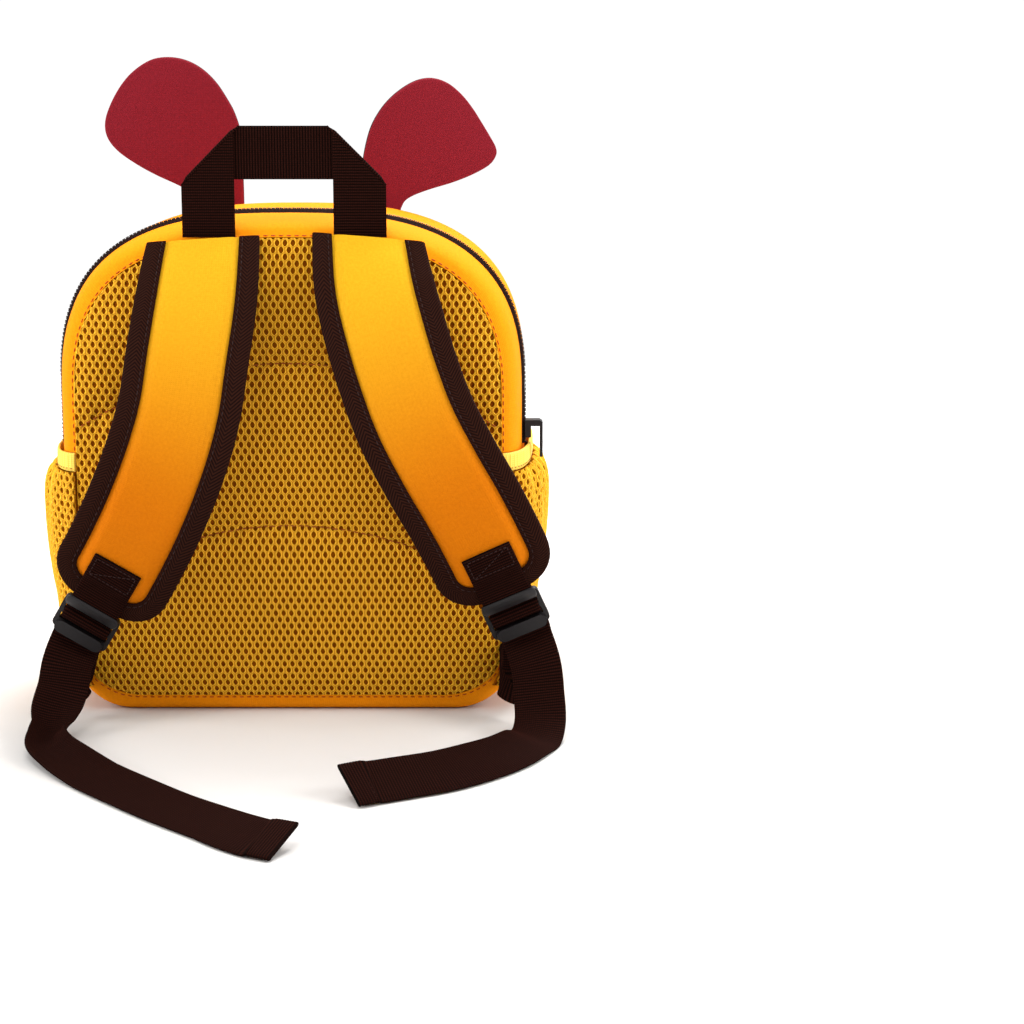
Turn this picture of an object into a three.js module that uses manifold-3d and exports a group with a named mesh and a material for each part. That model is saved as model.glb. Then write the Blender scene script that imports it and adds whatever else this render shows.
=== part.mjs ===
// A toddler's neoprene backpack with two ear shapes, a padded mesh back and webbing straps.
// Millimetres, +Z up. The origin is the middle of the flat base. The back panel faces -Y.

import * as THREE from 'three';
import { mergeVertices } from 'three/addons/utils/BufferGeometryUtils.js';
import Module from 'manifold-3d';

const wasm = await Module();
wasm.setup();

// Clearances
const SEAM_GAP = 0.3;

// Bag body
const BODY = {
  halfWidth: 112,
  top: 240,
  springHeight: 150,
  archPower: 2.75,
  cornerWidth: 28,
  cornerHeight: 30,
  wall: 2,
  halfColumns: 10,
};
const BACK_DEPTH = -50;
const FRONT_DEPTH = 48;
const ZIP_BACK = -25;
const ZIP_FRONT = -17;

// How far the wall is drawn in at each depth: inset from the widest outline, lift from the floor
const GUSSET_ROWS = [
  { depth: BACK_DEPTH, inset: 11, lift: 8 },
  { depth: BACK_DEPTH + 3, inset: 6.5, lift: 1.2 },
  { depth: BACK_DEPTH + 10, inset: 3.5, lift: 0 },
  { depth: ZIP_BACK, inset: 1.5, lift: 0 },
  { depth: ZIP_FRONT, inset: 1, lift: 0 },
  { depth: FRONT_DEPTH - 38, inset: 0, lift: 0 },
  { depth: FRONT_DEPTH - 14, inset: 1, lift: 0 },
  { depth: FRONT_DEPTH - 4, inset: 4.5, lift: 2 },
  { depth: FRONT_DEPTH, inset: 9, lift: 7 },
];

// Padded back panel with its two sewn arches
const PANEL = {
  backFace: 3.5,
  puff: 4,
  upperSeam: 170,
  lowerSeam: 92,
  seamDrop: 0.00313,
  edgePower: 10,
};
const PANEL_ROWS = [
  { cell: 0, at: 0, puff: 0 },
  { cell: 0, at: 0.15, puff: 0.75 },
  { cell: 0, at: 0.5, puff: 1 },
  { cell: 0, at: 0.87, puff: 0.8 },
  { cell: 1, at: 0, puff: 0.15 },
  { cell: 1, at: 0.1, puff: 0.8 },
  { cell: 1, at: 0.5, puff: 1 },
  { cell: 1, at: 0.9, puff: 0.8 },
  { cell: 2, at: 0, puff: 0.15 },
  { cell: 2, at: 0.14, puff: 0.8 },
  { cell: 2, at: 0.5, puff: 1 },
  { cell: 2, at: 0.9, puff: 0.45 },
  { cell: 2, at: 1, puff: 0 },
];

// Domed front panel: rings shrink towards its middle
const FRONT = { wall: 3, dome: 12, middleHeight: 118 };
const FRONT_ROWS = [
  { share: 1, rise: 0 },
  { share: 0.93, rise: 0.42 },
  { share: 0.7, rise: 0.78 },
  { share: 0.35, rise: 0.95 },
];

// Side pockets and their elastic
const POCKET = {
  foot: 14,
  mouth: 127,
  bandHeight: 9,
  bandWall: 1.5,
  wall: 2,
  halfDepth: 46,
  bulge: 13.5,
  mouthGap: 5.6,
  gather: 1.3,
  gatherCount: 6,
  columnStep: 5.2,
};
const POCKET_ROWS = [
  { height: 0, bulge: 0, gather: 0 },
  { height: 0.1, bulge: 0.42, gather: 0 },
  { height: 0.28, bulge: 0.85, gather: 0 },
  { height: 0.5, bulge: 1, gather: 0 },
  { height: 0.72, bulge: 0.98, gather: 0.2 },
  { height: 0.88, bulge: 0.7, gather: 0.8 },
  { height: 0.95, bulge: 0.48, gather: 1 },
];

// Zip
const ZIP = { tape: 1.2, coilHalf: 1.8, coilRise: 1, coilFoot: 2.4, recess: 0.6 };
const SLIDER = { width: 7, body: 3, aboveMouth: 3, height: 8.5, tabDrop: 18, tab: 1.5, tabStandOff: 7.2 };

// Ears
const EAR = { width: 73, height: 82, thick: 4, root: 8, depth: FRONT_DEPTH - 1.5, neckAcross: 39 };
const EAR_OUTLINE = [
  { across: 0.13, up: 0.25 },
  { across: 0.14, up: 0.42 },
  { across: 0.12, up: 0.56 },
  { across: 0.04, up: 0.72 },
  { across: -0.08, up: 0.87 },
  { across: -0.25, up: 0.965 },
  { across: -0.4, up: 0.975 },
  { across: -0.58, up: 0.9 },
  { across: -0.75, up: 0.73 },
  { across: -0.82, up: 0.55 },
  { across: -0.79, up: 0.44 },
  { across: -0.66, up: 0.33 },
  { across: -0.46, up: 0.235 },
  { across: -0.27, up: 0.16 },
  { across: -0.15, up: 0.09 },
];
const EAR_LEFT = { turn: -3, lean: 0 };
const EAR_RIGHT = { turn: 24, lean: -12 };

// Webbing
const WEBBING = { handle: 25, adjuster: 24, thick: 1.5 };
const HANDLE = { rise: 39.5, halfSpan: 48, foldSet: 2.5 };

// Shoulder straps
const STRAP = {
  halfWidth: 28,
  cornerRadius: 12,
  padRise: 4,
  edgeRise: 1.9,
  binding: 1,
  bindingWidth: 10,
  straightRows: 11,
  cornerSteps: 4,
  padFade: 3.5,
};
// Rows of the strap routes: the middle line's place as shares of the half width, of the reach in front
// of the back panel and of the height of the strap's root
const STRAP_REACH = 42;
const LEFT_ROUTE = [
  { across: -0.3482, forward: 0.102, up: 1.0 },
  { across: -0.3598, forward: 0.476, up: 0.8821 },
  { across: -0.3813, forward: 0.738, up: 0.7729 },
  { across: -0.4125, forward: 0.905, up: 0.6681 },
  { across: -0.4732, forward: 0.976, up: 0.5677 },
  { across: -0.5714, forward: 0.929, up: 0.4541 },
  { across: -0.6741, forward: 0.821, up: 0.3581 },
  { across: -0.7902, forward: 0.667, up: 0.2642 },
];
const RIGHT_ROUTE = [
  { across: 0.3509, forward: 0.102, up: 1.0 },
  { across: 0.3813, forward: 0.452, up: 0.9039 },
  { across: 0.433, forward: 0.69, up: 0.8122 },
  { across: 0.4839, forward: 0.833, up: 0.7358 },
  { across: 0.5536, forward: 0.952, up: 0.6485 },
  { across: 0.6536, forward: 1.0, up: 0.5546 },
  { across: 0.7545, forward: 0.952, up: 0.4651 },
  { across: 0.8393, forward: 0.857, up: 0.3799 },
  { across: 0.9196, forward: 0.714, up: 0.2882 },
];

// Ladder-lock buckle, measured down from the strap's end
const BUCKLE = {
  start: 2.5,
  length: 20,
  sideBar: 1.9,
  halfThick: 1.5,
  topBar: 2.7,
  middleBar: 10.4,
  middleEnd: 12.8,
  leverBar: 16,
  leverRise: 1.6,
  cornerRadius: 2.5,
};

// Free webbing tails. Shares: across of the half width, out of the tail's reach in front of the back
// panel, up of the drop below the buckle. Degrees: heading of the webbing's width and its tilt.
const TAIL = { leftReach: 204, rightReach: 139, drop: 31 };
const LEFT_TAIL = [
  { across: -0.9268, out: 0.125, up: 1.0, turn: 178, lift: 22 },
  { across: -0.9429, out: 0.1495, up: 0.645, turn: 178, lift: 12 },
  { across: -0.9554, out: 0.1814, up: 0.323, turn: 178, lift: 3 },
  { across: -0.9598, out: 0.223, up: 0.116, turn: 180, lift: -2 },
  { across: -0.9554, out: 0.2843, turn: 184, lift: -5 },
  { across: -0.9107, out: 0.3676, turn: 200, lift: -9 },
  { across: -0.8214, out: 0.4559, turn: 212, lift: -12 },
  { across: -0.6875, out: 0.5539, turn: 220, lift: -13 },
  { across: -0.5179, out: 0.6618, turn: 223, lift: -13 },
  { across: -0.3304, out: 0.7745, turn: 222, lift: -13 },
  { across: -0.1339, out: 0.8824, turn: 222, lift: -12 },
  { across: 0.0268, out: 0.9608, turn: 225, lift: -11 },
  { across: 0.1161, out: 1.0, turn: 227, lift: -11 },
];
const RIGHT_TAIL = [
  { across: 1.0446, out: 0.2122, up: 1.0, turn: 178, lift: -18 },
  { across: 1.058, out: 0.259, up: 0.581, turn: 176, lift: -8 },
  { across: 1.0625, out: 0.3165, up: 0.274, turn: 174, lift: 4 },
  { across: 1.0446, out: 0.3957, turn: 166, lift: 12 },
  { across: 1.0, out: 0.4964, turn: 154, lift: 20 },
  { across: 0.9286, out: 0.6115, turn: 144, lift: 24 },
  { across: 0.8214, out: 0.7266, turn: 132, lift: 28 },
  { across: 0.6786, out: 0.8345, turn: 122, lift: 30 },
  { across: 0.5268, out: 0.9065, turn: 117, lift: 31 },
  { across: 0.4107, out: 0.9568, turn: 118, lift: 32 },
  { across: 0.3214, out: 1.0, turn: 121, lift: 32 },
];
const TAIL_HEM = { length: 10, extra: 1.2 };
const ANCHOR = { up: 22, standOff: 0.5, straight: 7 };

// Materials
function finish(color, roughness, metalness = 0) {
  return new THREE.MeshStandardMaterial({ color, roughness, metalness });
}
const NEOPRENE_YELLOW = finish(0xffb118, 0.75);
const SPACER_MESH = finish(0xd9a21b, 0.85);
const NEOPRENE_BURGUNDY = finish(0x8e2233, 0.75);
const WEBBING_BROWN = finish(0x24120e, 0.8);
const BINDING_BROWN = finish(0x34212a, 0.8);
const BUCKLE_PLASTIC = finish(0x1a1718, 0.4);
const ELASTIC_YELLOW = finish(0xf5c53a, 0.8);
const ZIP_BROWN = finish(0x2a1a16, 0.6);

const model = new THREE.Group();

function addPiece(name, geometry, material, parent = model) {
  const mesh = new THREE.Mesh(geometry, material);
  mesh.name = name;
  parent.add(mesh);
  return mesh;
}

// A closed mesh from vertices and triangles, with its faces turned outwards
function closedGeometry(vertices, triangles) {
  let volume = 0;
  const cross = new THREE.Vector3();
  for (const [a, b, c] of triangles) {
    cross.crossVectors(vertices[b], vertices[c]);
    volume += vertices[a].dot(cross);
  }
  const index = triangles.flatMap(([a, b, c]) => (volume > 0 ? [a, b, c] : [a, c, b]));
  const geometry = new THREE.BufferGeometry();
  geometry.setAttribute(
    'position',
    new THREE.Float32BufferAttribute(vertices.flatMap((v) => [v.x, v.y, v.z]), 3),
  );
  geometry.setIndex(index);
  geometry.computeVertexNormals();
  return geometry;
}

// Two grids of points, joined round their borders: a sheet with a thickness
function sheetSolid(outer, inner) {
  const rows = outer.length;
  const columns = outer[0].length;
  const vertices = [...outer.flat(), ...inner.flat()];
  const front = (i, j) => i * columns + j;
  const back = (i, j) => rows * columns + i * columns + j;
  const triangles = [];
  const quad = (a, b, c, d) => triangles.push([a, b, c], [a, c, d]);
  for (let i = 0; i < rows - 1; i++) {
    for (let j = 0; j < columns - 1; j++) {
      quad(front(i, j), front(i, j + 1), front(i + 1, j + 1), front(i + 1, j));
      quad(back(i, j), back(i + 1, j), back(i + 1, j + 1), back(i, j + 1));
    }
  }
  for (let i = 0; i < rows - 1; i++) {
    const last = columns - 1;
    quad(front(i, 0), front(i + 1, 0), back(i + 1, 0), back(i, 0));
    quad(front(i, last), back(i, last), back(i + 1, last), front(i + 1, last));
  }
  for (let j = 0; j < columns - 1; j++) {
    const last = rows - 1;
    quad(front(0, j), back(0, j), back(0, j + 1), front(0, j + 1));
    quad(front(last, j), front(last, j + 1), back(last, j + 1), back(last, j));
  }
  return closedGeometry(vertices, triangles);
}

// Closed loops of points joined one after another, with flat ends
function loopSolid(loops, flatLoop) {
  const count = flatLoop.length;
  const vertices = loops.flat();
  const triangles = [];
  for (let i = 0; i < loops.length - 1; i++) {
    for (let j = 0; j < count; j++) {
      const next = (j + 1) % count;
      const a = i * count + j;
      const b = i * count + next;
      triangles.push([a, b, b + count], [a, b + count, a + count]);
    }
  }
  const clockwise = THREE.ShapeUtils.isClockWise(flatLoop);
  const faces = THREE.ShapeUtils.triangulateShape(flatLoop, []);
  const last = (loops.length - 1) * count;
  for (const [a, b, c] of faces) {
    const turned = clockwise ? [a, b, c] : [a, c, b];
    triangles.push(turned);
    triangles.push([turned[0] + last, turned[2] + last, turned[1] + last]);
  }
  return closedGeometry(vertices, triangles);
}

// Joins and cuts
function toSolid(geometry) {
  const plain = geometry.clone();
  plain.deleteAttribute('normal');
  plain.deleteAttribute('uv');
  const merged = mergeVertices(plain, 1e-4);
  const vertProperties = new Float32Array(merged.attributes.position.array);
  const triVerts = new Uint32Array(merged.index.array);
  return new wasm.Manifold(new wasm.Mesh({ numProp: 3, vertProperties, triVerts }));
}

function fromSolid(solid) {
  const mesh = solid.getMesh();
  const geometry = new THREE.BufferGeometry();
  geometry.setAttribute('position', new THREE.Float32BufferAttribute(mesh.vertProperties, 3));
  geometry.setIndex(Array.from(mesh.triVerts));
  geometry.computeVertexNormals();
  return geometry;
}

function mirrored(geometry) {
  const copy = geometry.clone();
  const position = copy.attributes.position;
  for (let i = 0; i < position.count; i++) position.setX(i, -position.getX(i));
  const index = Array.from(copy.index.array);
  for (let i = 0; i < index.length; i += 3) {
    [index[i + 1], index[i + 2]] = [index[i + 2], index[i + 1]];
  }
  copy.setIndex(index);
  copy.computeVertexNormals();
  return copy;
}

// Body outline
const COLUMN_SHARES = [];
for (let k = -BODY.halfColumns; k <= BODY.halfColumns; k++) {
  COLUMN_SHARES.push(Math.sin((k / BODY.halfColumns) * (Math.PI / 2)));
}

function archHeight(share, inset) {
  const rise = BODY.top - BODY.springHeight - inset;
  const left = 1 - Math.abs(share) ** BODY.archPower;
  return BODY.springHeight + rise * Math.max(left, 0) ** (1 / BODY.archPower);
}

function baseHeight(share, inset, lift) {
  const half = BODY.halfWidth - inset;
  const over = Math.max(0, Math.abs(share) * half - (half - BODY.cornerWidth)) / BODY.cornerWidth;
  const fall = 1 - Math.sqrt(Math.max(0, 1 - over * over));
  return lift + (BODY.cornerHeight - lift) * fall;
}

function upperOutline({ depth, inset }) {
  const half = BODY.halfWidth - inset;
  const foot = POCKET.mouth + SEAM_GAP / 2;
  const points = COLUMN_SHARES.map((share) => new THREE.Vector3(half * share, depth, archHeight(share, inset)));
  return [new THREE.Vector3(-half, depth, foot), ...points, new THREE.Vector3(half, depth, foot)];
}

function lowerOutline({ depth, inset, lift }) {
  const half = BODY.halfWidth - inset;
  const head = POCKET.mouth - SEAM_GAP / 2;
  const points = COLUMN_SHARES.map((share) => new THREE.Vector3(half * share, depth, baseHeight(share, inset, lift)));
  return [new THREE.Vector3(-half, depth, head), ...points, new THREE.Vector3(half, depth, head)];
}

// Rows of the inner face of a wall, square to the rows of its outer face
function innerRows(rows, wall, startNormal, endNormal) {
  return rows.map((row, i) => {
    const before = rows[Math.max(i - 1, 0)];
    const after = rows[Math.min(i + 1, rows.length - 1)];
    const along = new THREE.Vector2(after.depth - before.depth, after.inset - before.inset).normalize();
    let normal = new THREE.Vector2(-along.y, along.x);
    if (i === 0 && startNormal) normal = startNormal;
    if (i === rows.length - 1 && endNormal) normal = endNormal;
    return {
      depth: row.depth + normal.x * wall,
      inset: row.inset + normal.y * wall,
      lift: (row.lift ?? 0) + normal.y * wall,
    };
  });
}

function gussetRows(fromDepth, toDepth) {
  return GUSSET_ROWS.filter((row) => row.depth >= fromDepth && row.depth <= toDepth).map((row) => ({ ...row }));
}

const STRAIGHT_BACK = new THREE.Vector2(1, 0);
const STRAIGHT_IN = new THREE.Vector2(0, 1);
const FRONT_SLANT = new THREE.Vector2(-Math.SQRT1_2, Math.SQRT1_2);

function insetAt(depth) {
  const next = GUSSET_ROWS.findIndex((row) => row.depth >= depth);
  const b = GUSSET_ROWS[Math.max(next, 1)];
  const a = GUSSET_ROWS[Math.max(next, 1) - 1];
  return a.inset + ((b.inset - a.inset) * (depth - a.depth)) / (b.depth - a.depth);
}

// Back border, front wall and base
function buildGussets() {
  const backRows = gussetRows(BACK_DEPTH, ZIP_BACK);
  backRows.at(-1).depth -= SEAM_GAP;
  addPiece('back_gusset', sheetSolid(
    backRows.map(upperOutline),
    innerRows(backRows, BODY.wall, STRAIGHT_BACK, STRAIGHT_IN).map(upperOutline),
  ), NEOPRENE_YELLOW);

  const frontRows = gussetRows(ZIP_FRONT, FRONT_DEPTH);
  frontRows[0].depth += SEAM_GAP;
  addPiece('front_gusset', sheetSolid(
    frontRows.map(upperOutline),
    innerRows(frontRows, BODY.wall, STRAIGHT_IN, FRONT_SLANT).map(upperOutline),
  ), NEOPRENE_YELLOW);

  const baseRows = gussetRows(BACK_DEPTH, FRONT_DEPTH);
  addPiece('base_gusset', sheetSolid(
    baseRows.map(lowerOutline),
    innerRows(baseRows, BODY.wall, STRAIGHT_BACK, FRONT_SLANT).map(lowerOutline),
  ), NEOPRENE_YELLOW);
}

// Zip tape with the coil standing on its middle
function buildZip() {
  const inset = (insetAt(ZIP_BACK) + insetAt(ZIP_FRONT)) / 2;
  const middle = (ZIP_BACK + ZIP_FRONT) / 2;
  const top = inset + ZIP.recess;
  const section = [
    { depth: ZIP_BACK, inset: top + ZIP.tape },
    { depth: ZIP_FRONT, inset: top + ZIP.tape },
    { depth: ZIP_FRONT, inset: top },
    { depth: middle + ZIP.coilFoot, inset: top },
    { depth: middle + ZIP.coilHalf, inset: inset - ZIP.coilRise },
    { depth: middle - ZIP.coilHalf, inset: inset - ZIP.coilRise },
    { depth: middle - ZIP.coilFoot, inset: top },
    { depth: ZIP_BACK, inset: top },
  ];
  const lines = section.map(upperOutline);
  const loops = lines[0].map((_, i) => lines.map((line) => line[i]));
  const flat = section.map((row) => new THREE.Vector2(row.depth, row.inset));
  addPiece('zipper', loopSolid(loops, flat), ZIP_BROWN);

  const face = BODY.halfWidth - inset + ZIP.coilRise + SEAM_GAP;
  const bottom = POCKET.mouth + SLIDER.aboveMouth;
  const sliderTop = bottom + SLIDER.height;
  const shape = new THREE.Shape([
    new THREE.Vector2(face, bottom),
    new THREE.Vector2(face + SLIDER.body, bottom),
    new THREE.Vector2(face + SLIDER.body, sliderTop - SLIDER.body),
    new THREE.Vector2(face + SLIDER.tabStandOff, sliderTop - SLIDER.body),
    new THREE.Vector2(face + SLIDER.tabStandOff, sliderTop - SLIDER.tabDrop),
    new THREE.Vector2(face + SLIDER.tabStandOff + SLIDER.tab, sliderTop - SLIDER.tabDrop),
    new THREE.Vector2(face + SLIDER.tabStandOff + SLIDER.tab, sliderTop - 1),
    new THREE.Vector2(face + SLIDER.tabStandOff, sliderTop),
    new THREE.Vector2(face, sliderTop),
  ]);
  const slider = new THREE.ExtrudeGeometry(shape, { depth: SLIDER.width, bevelEnabled: false });
  const mesh = addPiece('zip_slider', slider, BUCKLE_PLASTIC);
  mesh.rotation.x = Math.PI / 2;
  mesh.position.y = middle + SLIDER.width / 2;
}

// Padded back panel
function buildBackPanel() {
  const inset = GUSSET_ROWS[0].inset + SEAM_GAP;
  const lift = GUSSET_ROWS[0].lift + SEAM_GAP;
  const half = BODY.halfWidth - inset;
  const levels = (share) => {
    const drop = PANEL.seamDrop * (share * half) ** 2;
    return [
      baseHeight(share, inset, lift),
      PANEL.lowerSeam - drop,
      PANEL.upperSeam - drop,
      archHeight(share, inset),
    ];
  };
  const place = (row, share, depth) => {
    const level = levels(share);
    const z = level[row.cell] + (level[row.cell + 1] - level[row.cell]) * row.at;
    return new THREE.Vector3(half * share, depth, z);
  };
  const outer = PANEL_ROWS.map((row) => COLUMN_SHARES.map((share) => {
    const puff = PANEL.puff * row.puff * (1 - Math.abs(share) ** PANEL.edgePower);
    return place(row, share, BACK_DEPTH - puff);
  }));
  const inner = PANEL_ROWS.map((row) => COLUMN_SHARES.map((share) => (
    place(row, share, BACK_DEPTH + PANEL.backFace)
  )));
  addPiece('back_panel', sheetSolid(outer, inner), SPACER_MESH);
}

// Domed front panel
function buildFrontPanel() {
  const edge = GUSSET_ROWS.at(-1);
  const rim = { depth: edge.depth + SEAM_GAP, inset: edge.inset + SEAM_GAP, lift: edge.lift + SEAM_GAP };
  const ring = (row) => {
    const upper = upperOutline(row).slice(1, -1);
    const lower = lowerOutline(row).slice(1, -1).reverse();
    return [...upper, ...lower];
  };
  const middle = new THREE.Vector3(0, 0, FRONT.middleHeight);
  const shrink = (points, share, depth) => points.map((point) => new THREE.Vector3(
    middle.x + (point.x - middle.x) * share,
    depth,
    middle.z + (point.z - middle.z) * share,
  ));
  const outline = ring(rim);
  const slant = FRONT.wall * Math.SQRT1_2;
  const innerOutline = ring({ depth: 0, inset: rim.inset + slant, lift: rim.lift + slant });
  const loops = [];
  for (const row of FRONT_ROWS) {
    loops.push(shrink(outline, row.share, rim.depth + FRONT.dome * row.rise));
  }
  const innerLoops = [];
  for (const row of FRONT_ROWS) {
    const back = row.share === 1 ? slant : FRONT.wall;
    innerLoops.push(shrink(innerOutline, row.share, rim.depth + FRONT.dome * row.rise - back));
  }
  const rings = [...loops.slice().reverse(), ...innerLoops];
  const count = outline.length;
  const vertices = rings.flat();
  const triangles = [];
  for (let i = 0; i < rings.length - 1; i++) {
    for (let j = 0; j < count; j++) {
      const a = i * count + j;
      const b = i * count + ((j + 1) % count);
      triangles.push([a, b, b + count], [a, b + count, a + count]);
    }
  }
  const topPoint = vertices.length;
  vertices.push(new THREE.Vector3(0, rim.depth + FRONT.dome, FRONT.middleHeight));
  vertices.push(new THREE.Vector3(0, rim.depth + FRONT.dome - FRONT.wall, FRONT.middleHeight));
  const last = (rings.length - 1) * count;
  for (let j = 0; j < count; j++) {
    const next = (j + 1) % count;
    triangles.push([topPoint, next, j]);
    triangles.push([topPoint + 1, last + j, last + next]);
  }
  addPiece('front_panel', closedGeometry(vertices, triangles), NEOPRENE_YELLOW);
}

// Side pockets, with the elastic band over their gathered edge
function pocketAcross(share) {
  return 1 - Math.abs(2 * share - 1) ** 4;
}

function buildPockets() {
  const bandFoot = POCKET.mouth - POCKET.bandHeight;
  const clothTop = bandFoot - SEAM_GAP;
  const bends = GUSSET_ROWS.map((row) => row.depth).filter((depth) => Math.abs(depth) < POCKET.halfDepth);
  const stops = [-POCKET.halfDepth, ...bends, POCKET.halfDepth];
  const shares = [0];
  for (let i = 1; i < stops.length; i++) {
    const steps = Math.ceil((stops[i] - stops[i - 1]) / POCKET.columnStep);
    for (let k = 1; k <= steps; k++) {
      const depth = stops[i - 1] + ((stops[i] - stops[i - 1]) * k) / steps;
      shares.push((depth + POCKET.halfDepth) / (2 * POCKET.halfDepth));
    }
  }
  const wallAt = (depth, height) => {
    const half = BODY.halfWidth - insetAt(depth);
    if (height >= BODY.cornerHeight) return half;
    const fall = height / BODY.cornerHeight;
    return half - BODY.cornerWidth * (1 - Math.sqrt(Math.max(0, 1 - (1 - fall) ** 2)));
  };
  const place = (share, height, bulge, out) => {
    const depth = -POCKET.halfDepth + 2 * POCKET.halfDepth * share;
    const x = wallAt(depth, height) + SEAM_GAP * 1.3 + bulge * pocketAcross(share) + out;
    return new THREE.Vector3(-x, depth, height);
  };
  const topBulge = POCKET.mouthGap - SEAM_GAP * 1.3;
  const rows = [...POCKET_ROWS, { height: 1, bulge: topBulge / POCKET.bulge, gather: 0.6 }];
  const grid = (out) => rows.map((row) => shares.map((share) => {
    const height = POCKET.foot + (clothTop - POCKET.foot) * row.height;
    const wave = POCKET.gather * row.gather * (1 + Math.sin(2 * Math.PI * POCKET.gatherCount * share));
    return place(share, height, row.bulge * POCKET.bulge + wave, out);
  }));
  const cloth = sheetSolid(grid(POCKET.wall), grid(0));
  addPiece('pocket_left', cloth, SPACER_MESH);
  addPiece('pocket_right', mirrored(cloth), SPACER_MESH);

  const band = (out) => [bandFoot, POCKET.mouth].map((height) => (
    shares.map((share) => place(share, height, topBulge, out))
  ));
  const elastic = sheetSolid(band(POCKET.bandWall), band(0));
  addPiece('pocket_elastic_left', elastic, ELASTIC_YELLOW);
  addPiece('pocket_elastic_right', mirrored(elastic), ELASTIC_YELLOW);
}

// A filled copy of the body, a little larger all round, to fit other pieces against
function bodyBlock(clearance) {
  const edge = GUSSET_ROWS.at(-1);
  const rows = [
    ...GUSSET_ROWS,
    { depth: edge.depth + 2.6, inset: edge.inset + 2.6, lift: edge.lift + 2.6 },
    { depth: edge.depth + FRONT.dome * 0.42, inset: edge.inset + 7.5, lift: edge.lift + 7 },
    { depth: edge.depth + FRONT.dome * 0.78, inset: edge.inset + 30, lift: edge.lift + 30 },
  ].map((row) => ({ depth: row.depth, inset: row.inset - clearance, lift: row.lift }));
  const loops = rows.map((row) => {
    const upper = upperOutline(row).slice(1, -1);
    return upper.map((point) => point.clone());
  });
  const flat = loops[0].map((point) => new THREE.Vector2(point.x, point.z));
  return toSolid(loopSolid(loops, flat));
}

// Ears, cut to stand on the front seam
function earGeometry() {
  const shape = new THREE.Shape();
  const neck = EAR.width * EAR_OUTLINE[0].across;
  const neckOut = EAR.width * EAR_OUTLINE.at(-1).across;
  shape.moveTo(neckOut, -EAR.root);
  shape.lineTo(neck, -EAR.root);
  shape.lineTo(neck, EAR.height * EAR_OUTLINE[0].up);
  const points = EAR_OUTLINE.map((row) => new THREE.Vector2(EAR.width * row.across, EAR.height * row.up));
  shape.splineThru(points.slice(1));
  shape.closePath();
  const geometry = new THREE.ExtrudeGeometry(shape, {
    depth: EAR.thick,
    bevelEnabled: false,
    curveSegments: 2,
  });
  geometry.translate(0, 0, -EAR.thick / 2);
  geometry.rotateX(Math.PI / 2);
  return geometry;
}

function buildEars() {
  const block = bodyBlock(SEAM_GAP);
  const seat = archHeight(EAR.neckAcross / BODY.halfWidth, insetAt(EAR.depth));
  const place = (geometry, { turn, lean }, across) => {
    const holder = new THREE.Object3D();
    holder.position.set(across, EAR.depth, seat);
    holder.rotation.set(0, THREE.MathUtils.degToRad(-lean), THREE.MathUtils.degToRad(turn), 'ZYX');
    holder.updateMatrix();
    return geometry.clone().applyMatrix4(holder.matrix);
  };
  const leftGeometry = mergeVertices(stripped(earGeometry()), 1e-4);
  const left = place(leftGeometry, EAR_LEFT, -EAR.neckAcross);
  const right = place(mirrored(leftGeometry), EAR_RIGHT, EAR.neckAcross);
  addPiece('ear_left', fromSolid(toSolid(left).subtract(block)), NEOPRENE_BURGUNDY);
  addPiece('ear_right', fromSolid(toSolid(right).subtract(block)), NEOPRENE_BURGUNDY);
}

function stripped(geometry) {
  const plain = geometry.clone();
  plain.deleteAttribute('normal');
  plain.deleteAttribute('uv');
  return plain;
}

// Carrying handle: webbing folded at its two upper corners, the legs in front of the top stretch
function buildHandle() {
  const { halfSpan, foldSet } = HANDLE;
  const top = BODY.top + HANDLE.rise;
  const legFoot = BODY.top - GUSSET_ROWS[0].inset;
  const width = WEBBING.handle;
  const inner = halfSpan - width;
  const foldTop = inner - foldSet;
  const fold = top - (halfSpan - foldTop);
  const plate = (corners, nearFace) => {
    const shape = new THREE.Shape(corners.map(([x, z]) => new THREE.Vector2(x, z)));
    const geometry = new THREE.ExtrudeGeometry(shape, { depth: WEBBING.thick, bevelEnabled: false });
    geometry.rotateX(Math.PI / 2);
    geometry.translate(0, nearFace, 0);
    return toSolid(geometry);
  };
  const backFace = BACK_DEPTH - SEAM_GAP;
  const leg = (side) => plate([
    [side * halfSpan, legFoot],
    [side * inner, legFoot],
    [side * inner, top - foldSet],
    [side * halfSpan, fold],
  ], backFace);
  const band = plate([
    [-foldTop, top],
    [foldTop, top],
    [foldTop + width, top - width],
    [-foldTop - width, top - width],
  ], backFace + WEBBING.thick);
  addPiece('grab_handle', fromSolid(leg(-1).add(leg(1)).add(band)), WEBBING_BROWN);
}

// Ribbon frames: place along a route, with the directions along, across and out of the face
function strapFrame(route) {
  const rootHeight = BODY.top - GUSSET_ROWS[0].inset;
  const curve = new THREE.CatmullRomCurve3(
    route.map((row) => new THREE.Vector3(
      row.across * BODY.halfWidth,
      BACK_DEPTH - row.forward * STRAP_REACH,
      row.up * rootHeight,
    )),
    false,
    'centripetal',
  );
  const length = curve.getLength();
  const facing = new THREE.Vector3(0, -1, 0);
  const frameAt = (distance) => {
    const inside = Math.min(Math.max(distance, 0), length);
    const share = inside / length;
    const tangent = curve.getTangentAt(share).normalize();
    const centre = curve.getPointAt(share).addScaledVector(tangent, distance - inside);
    const normal = facing.clone().addScaledVector(tangent, -facing.dot(tangent)).normalize();
    const across = new THREE.Vector3().crossVectors(tangent, normal);
    return { centre, tangent, normal, across };
  };
  const point = (distance, across, out) => {
    const frame = frameAt(distance);
    return frame.centre.addScaledVector(frame.across, across).addScaledVector(frame.normal, out);
  };
  return { length, frameAt, point };
}

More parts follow.
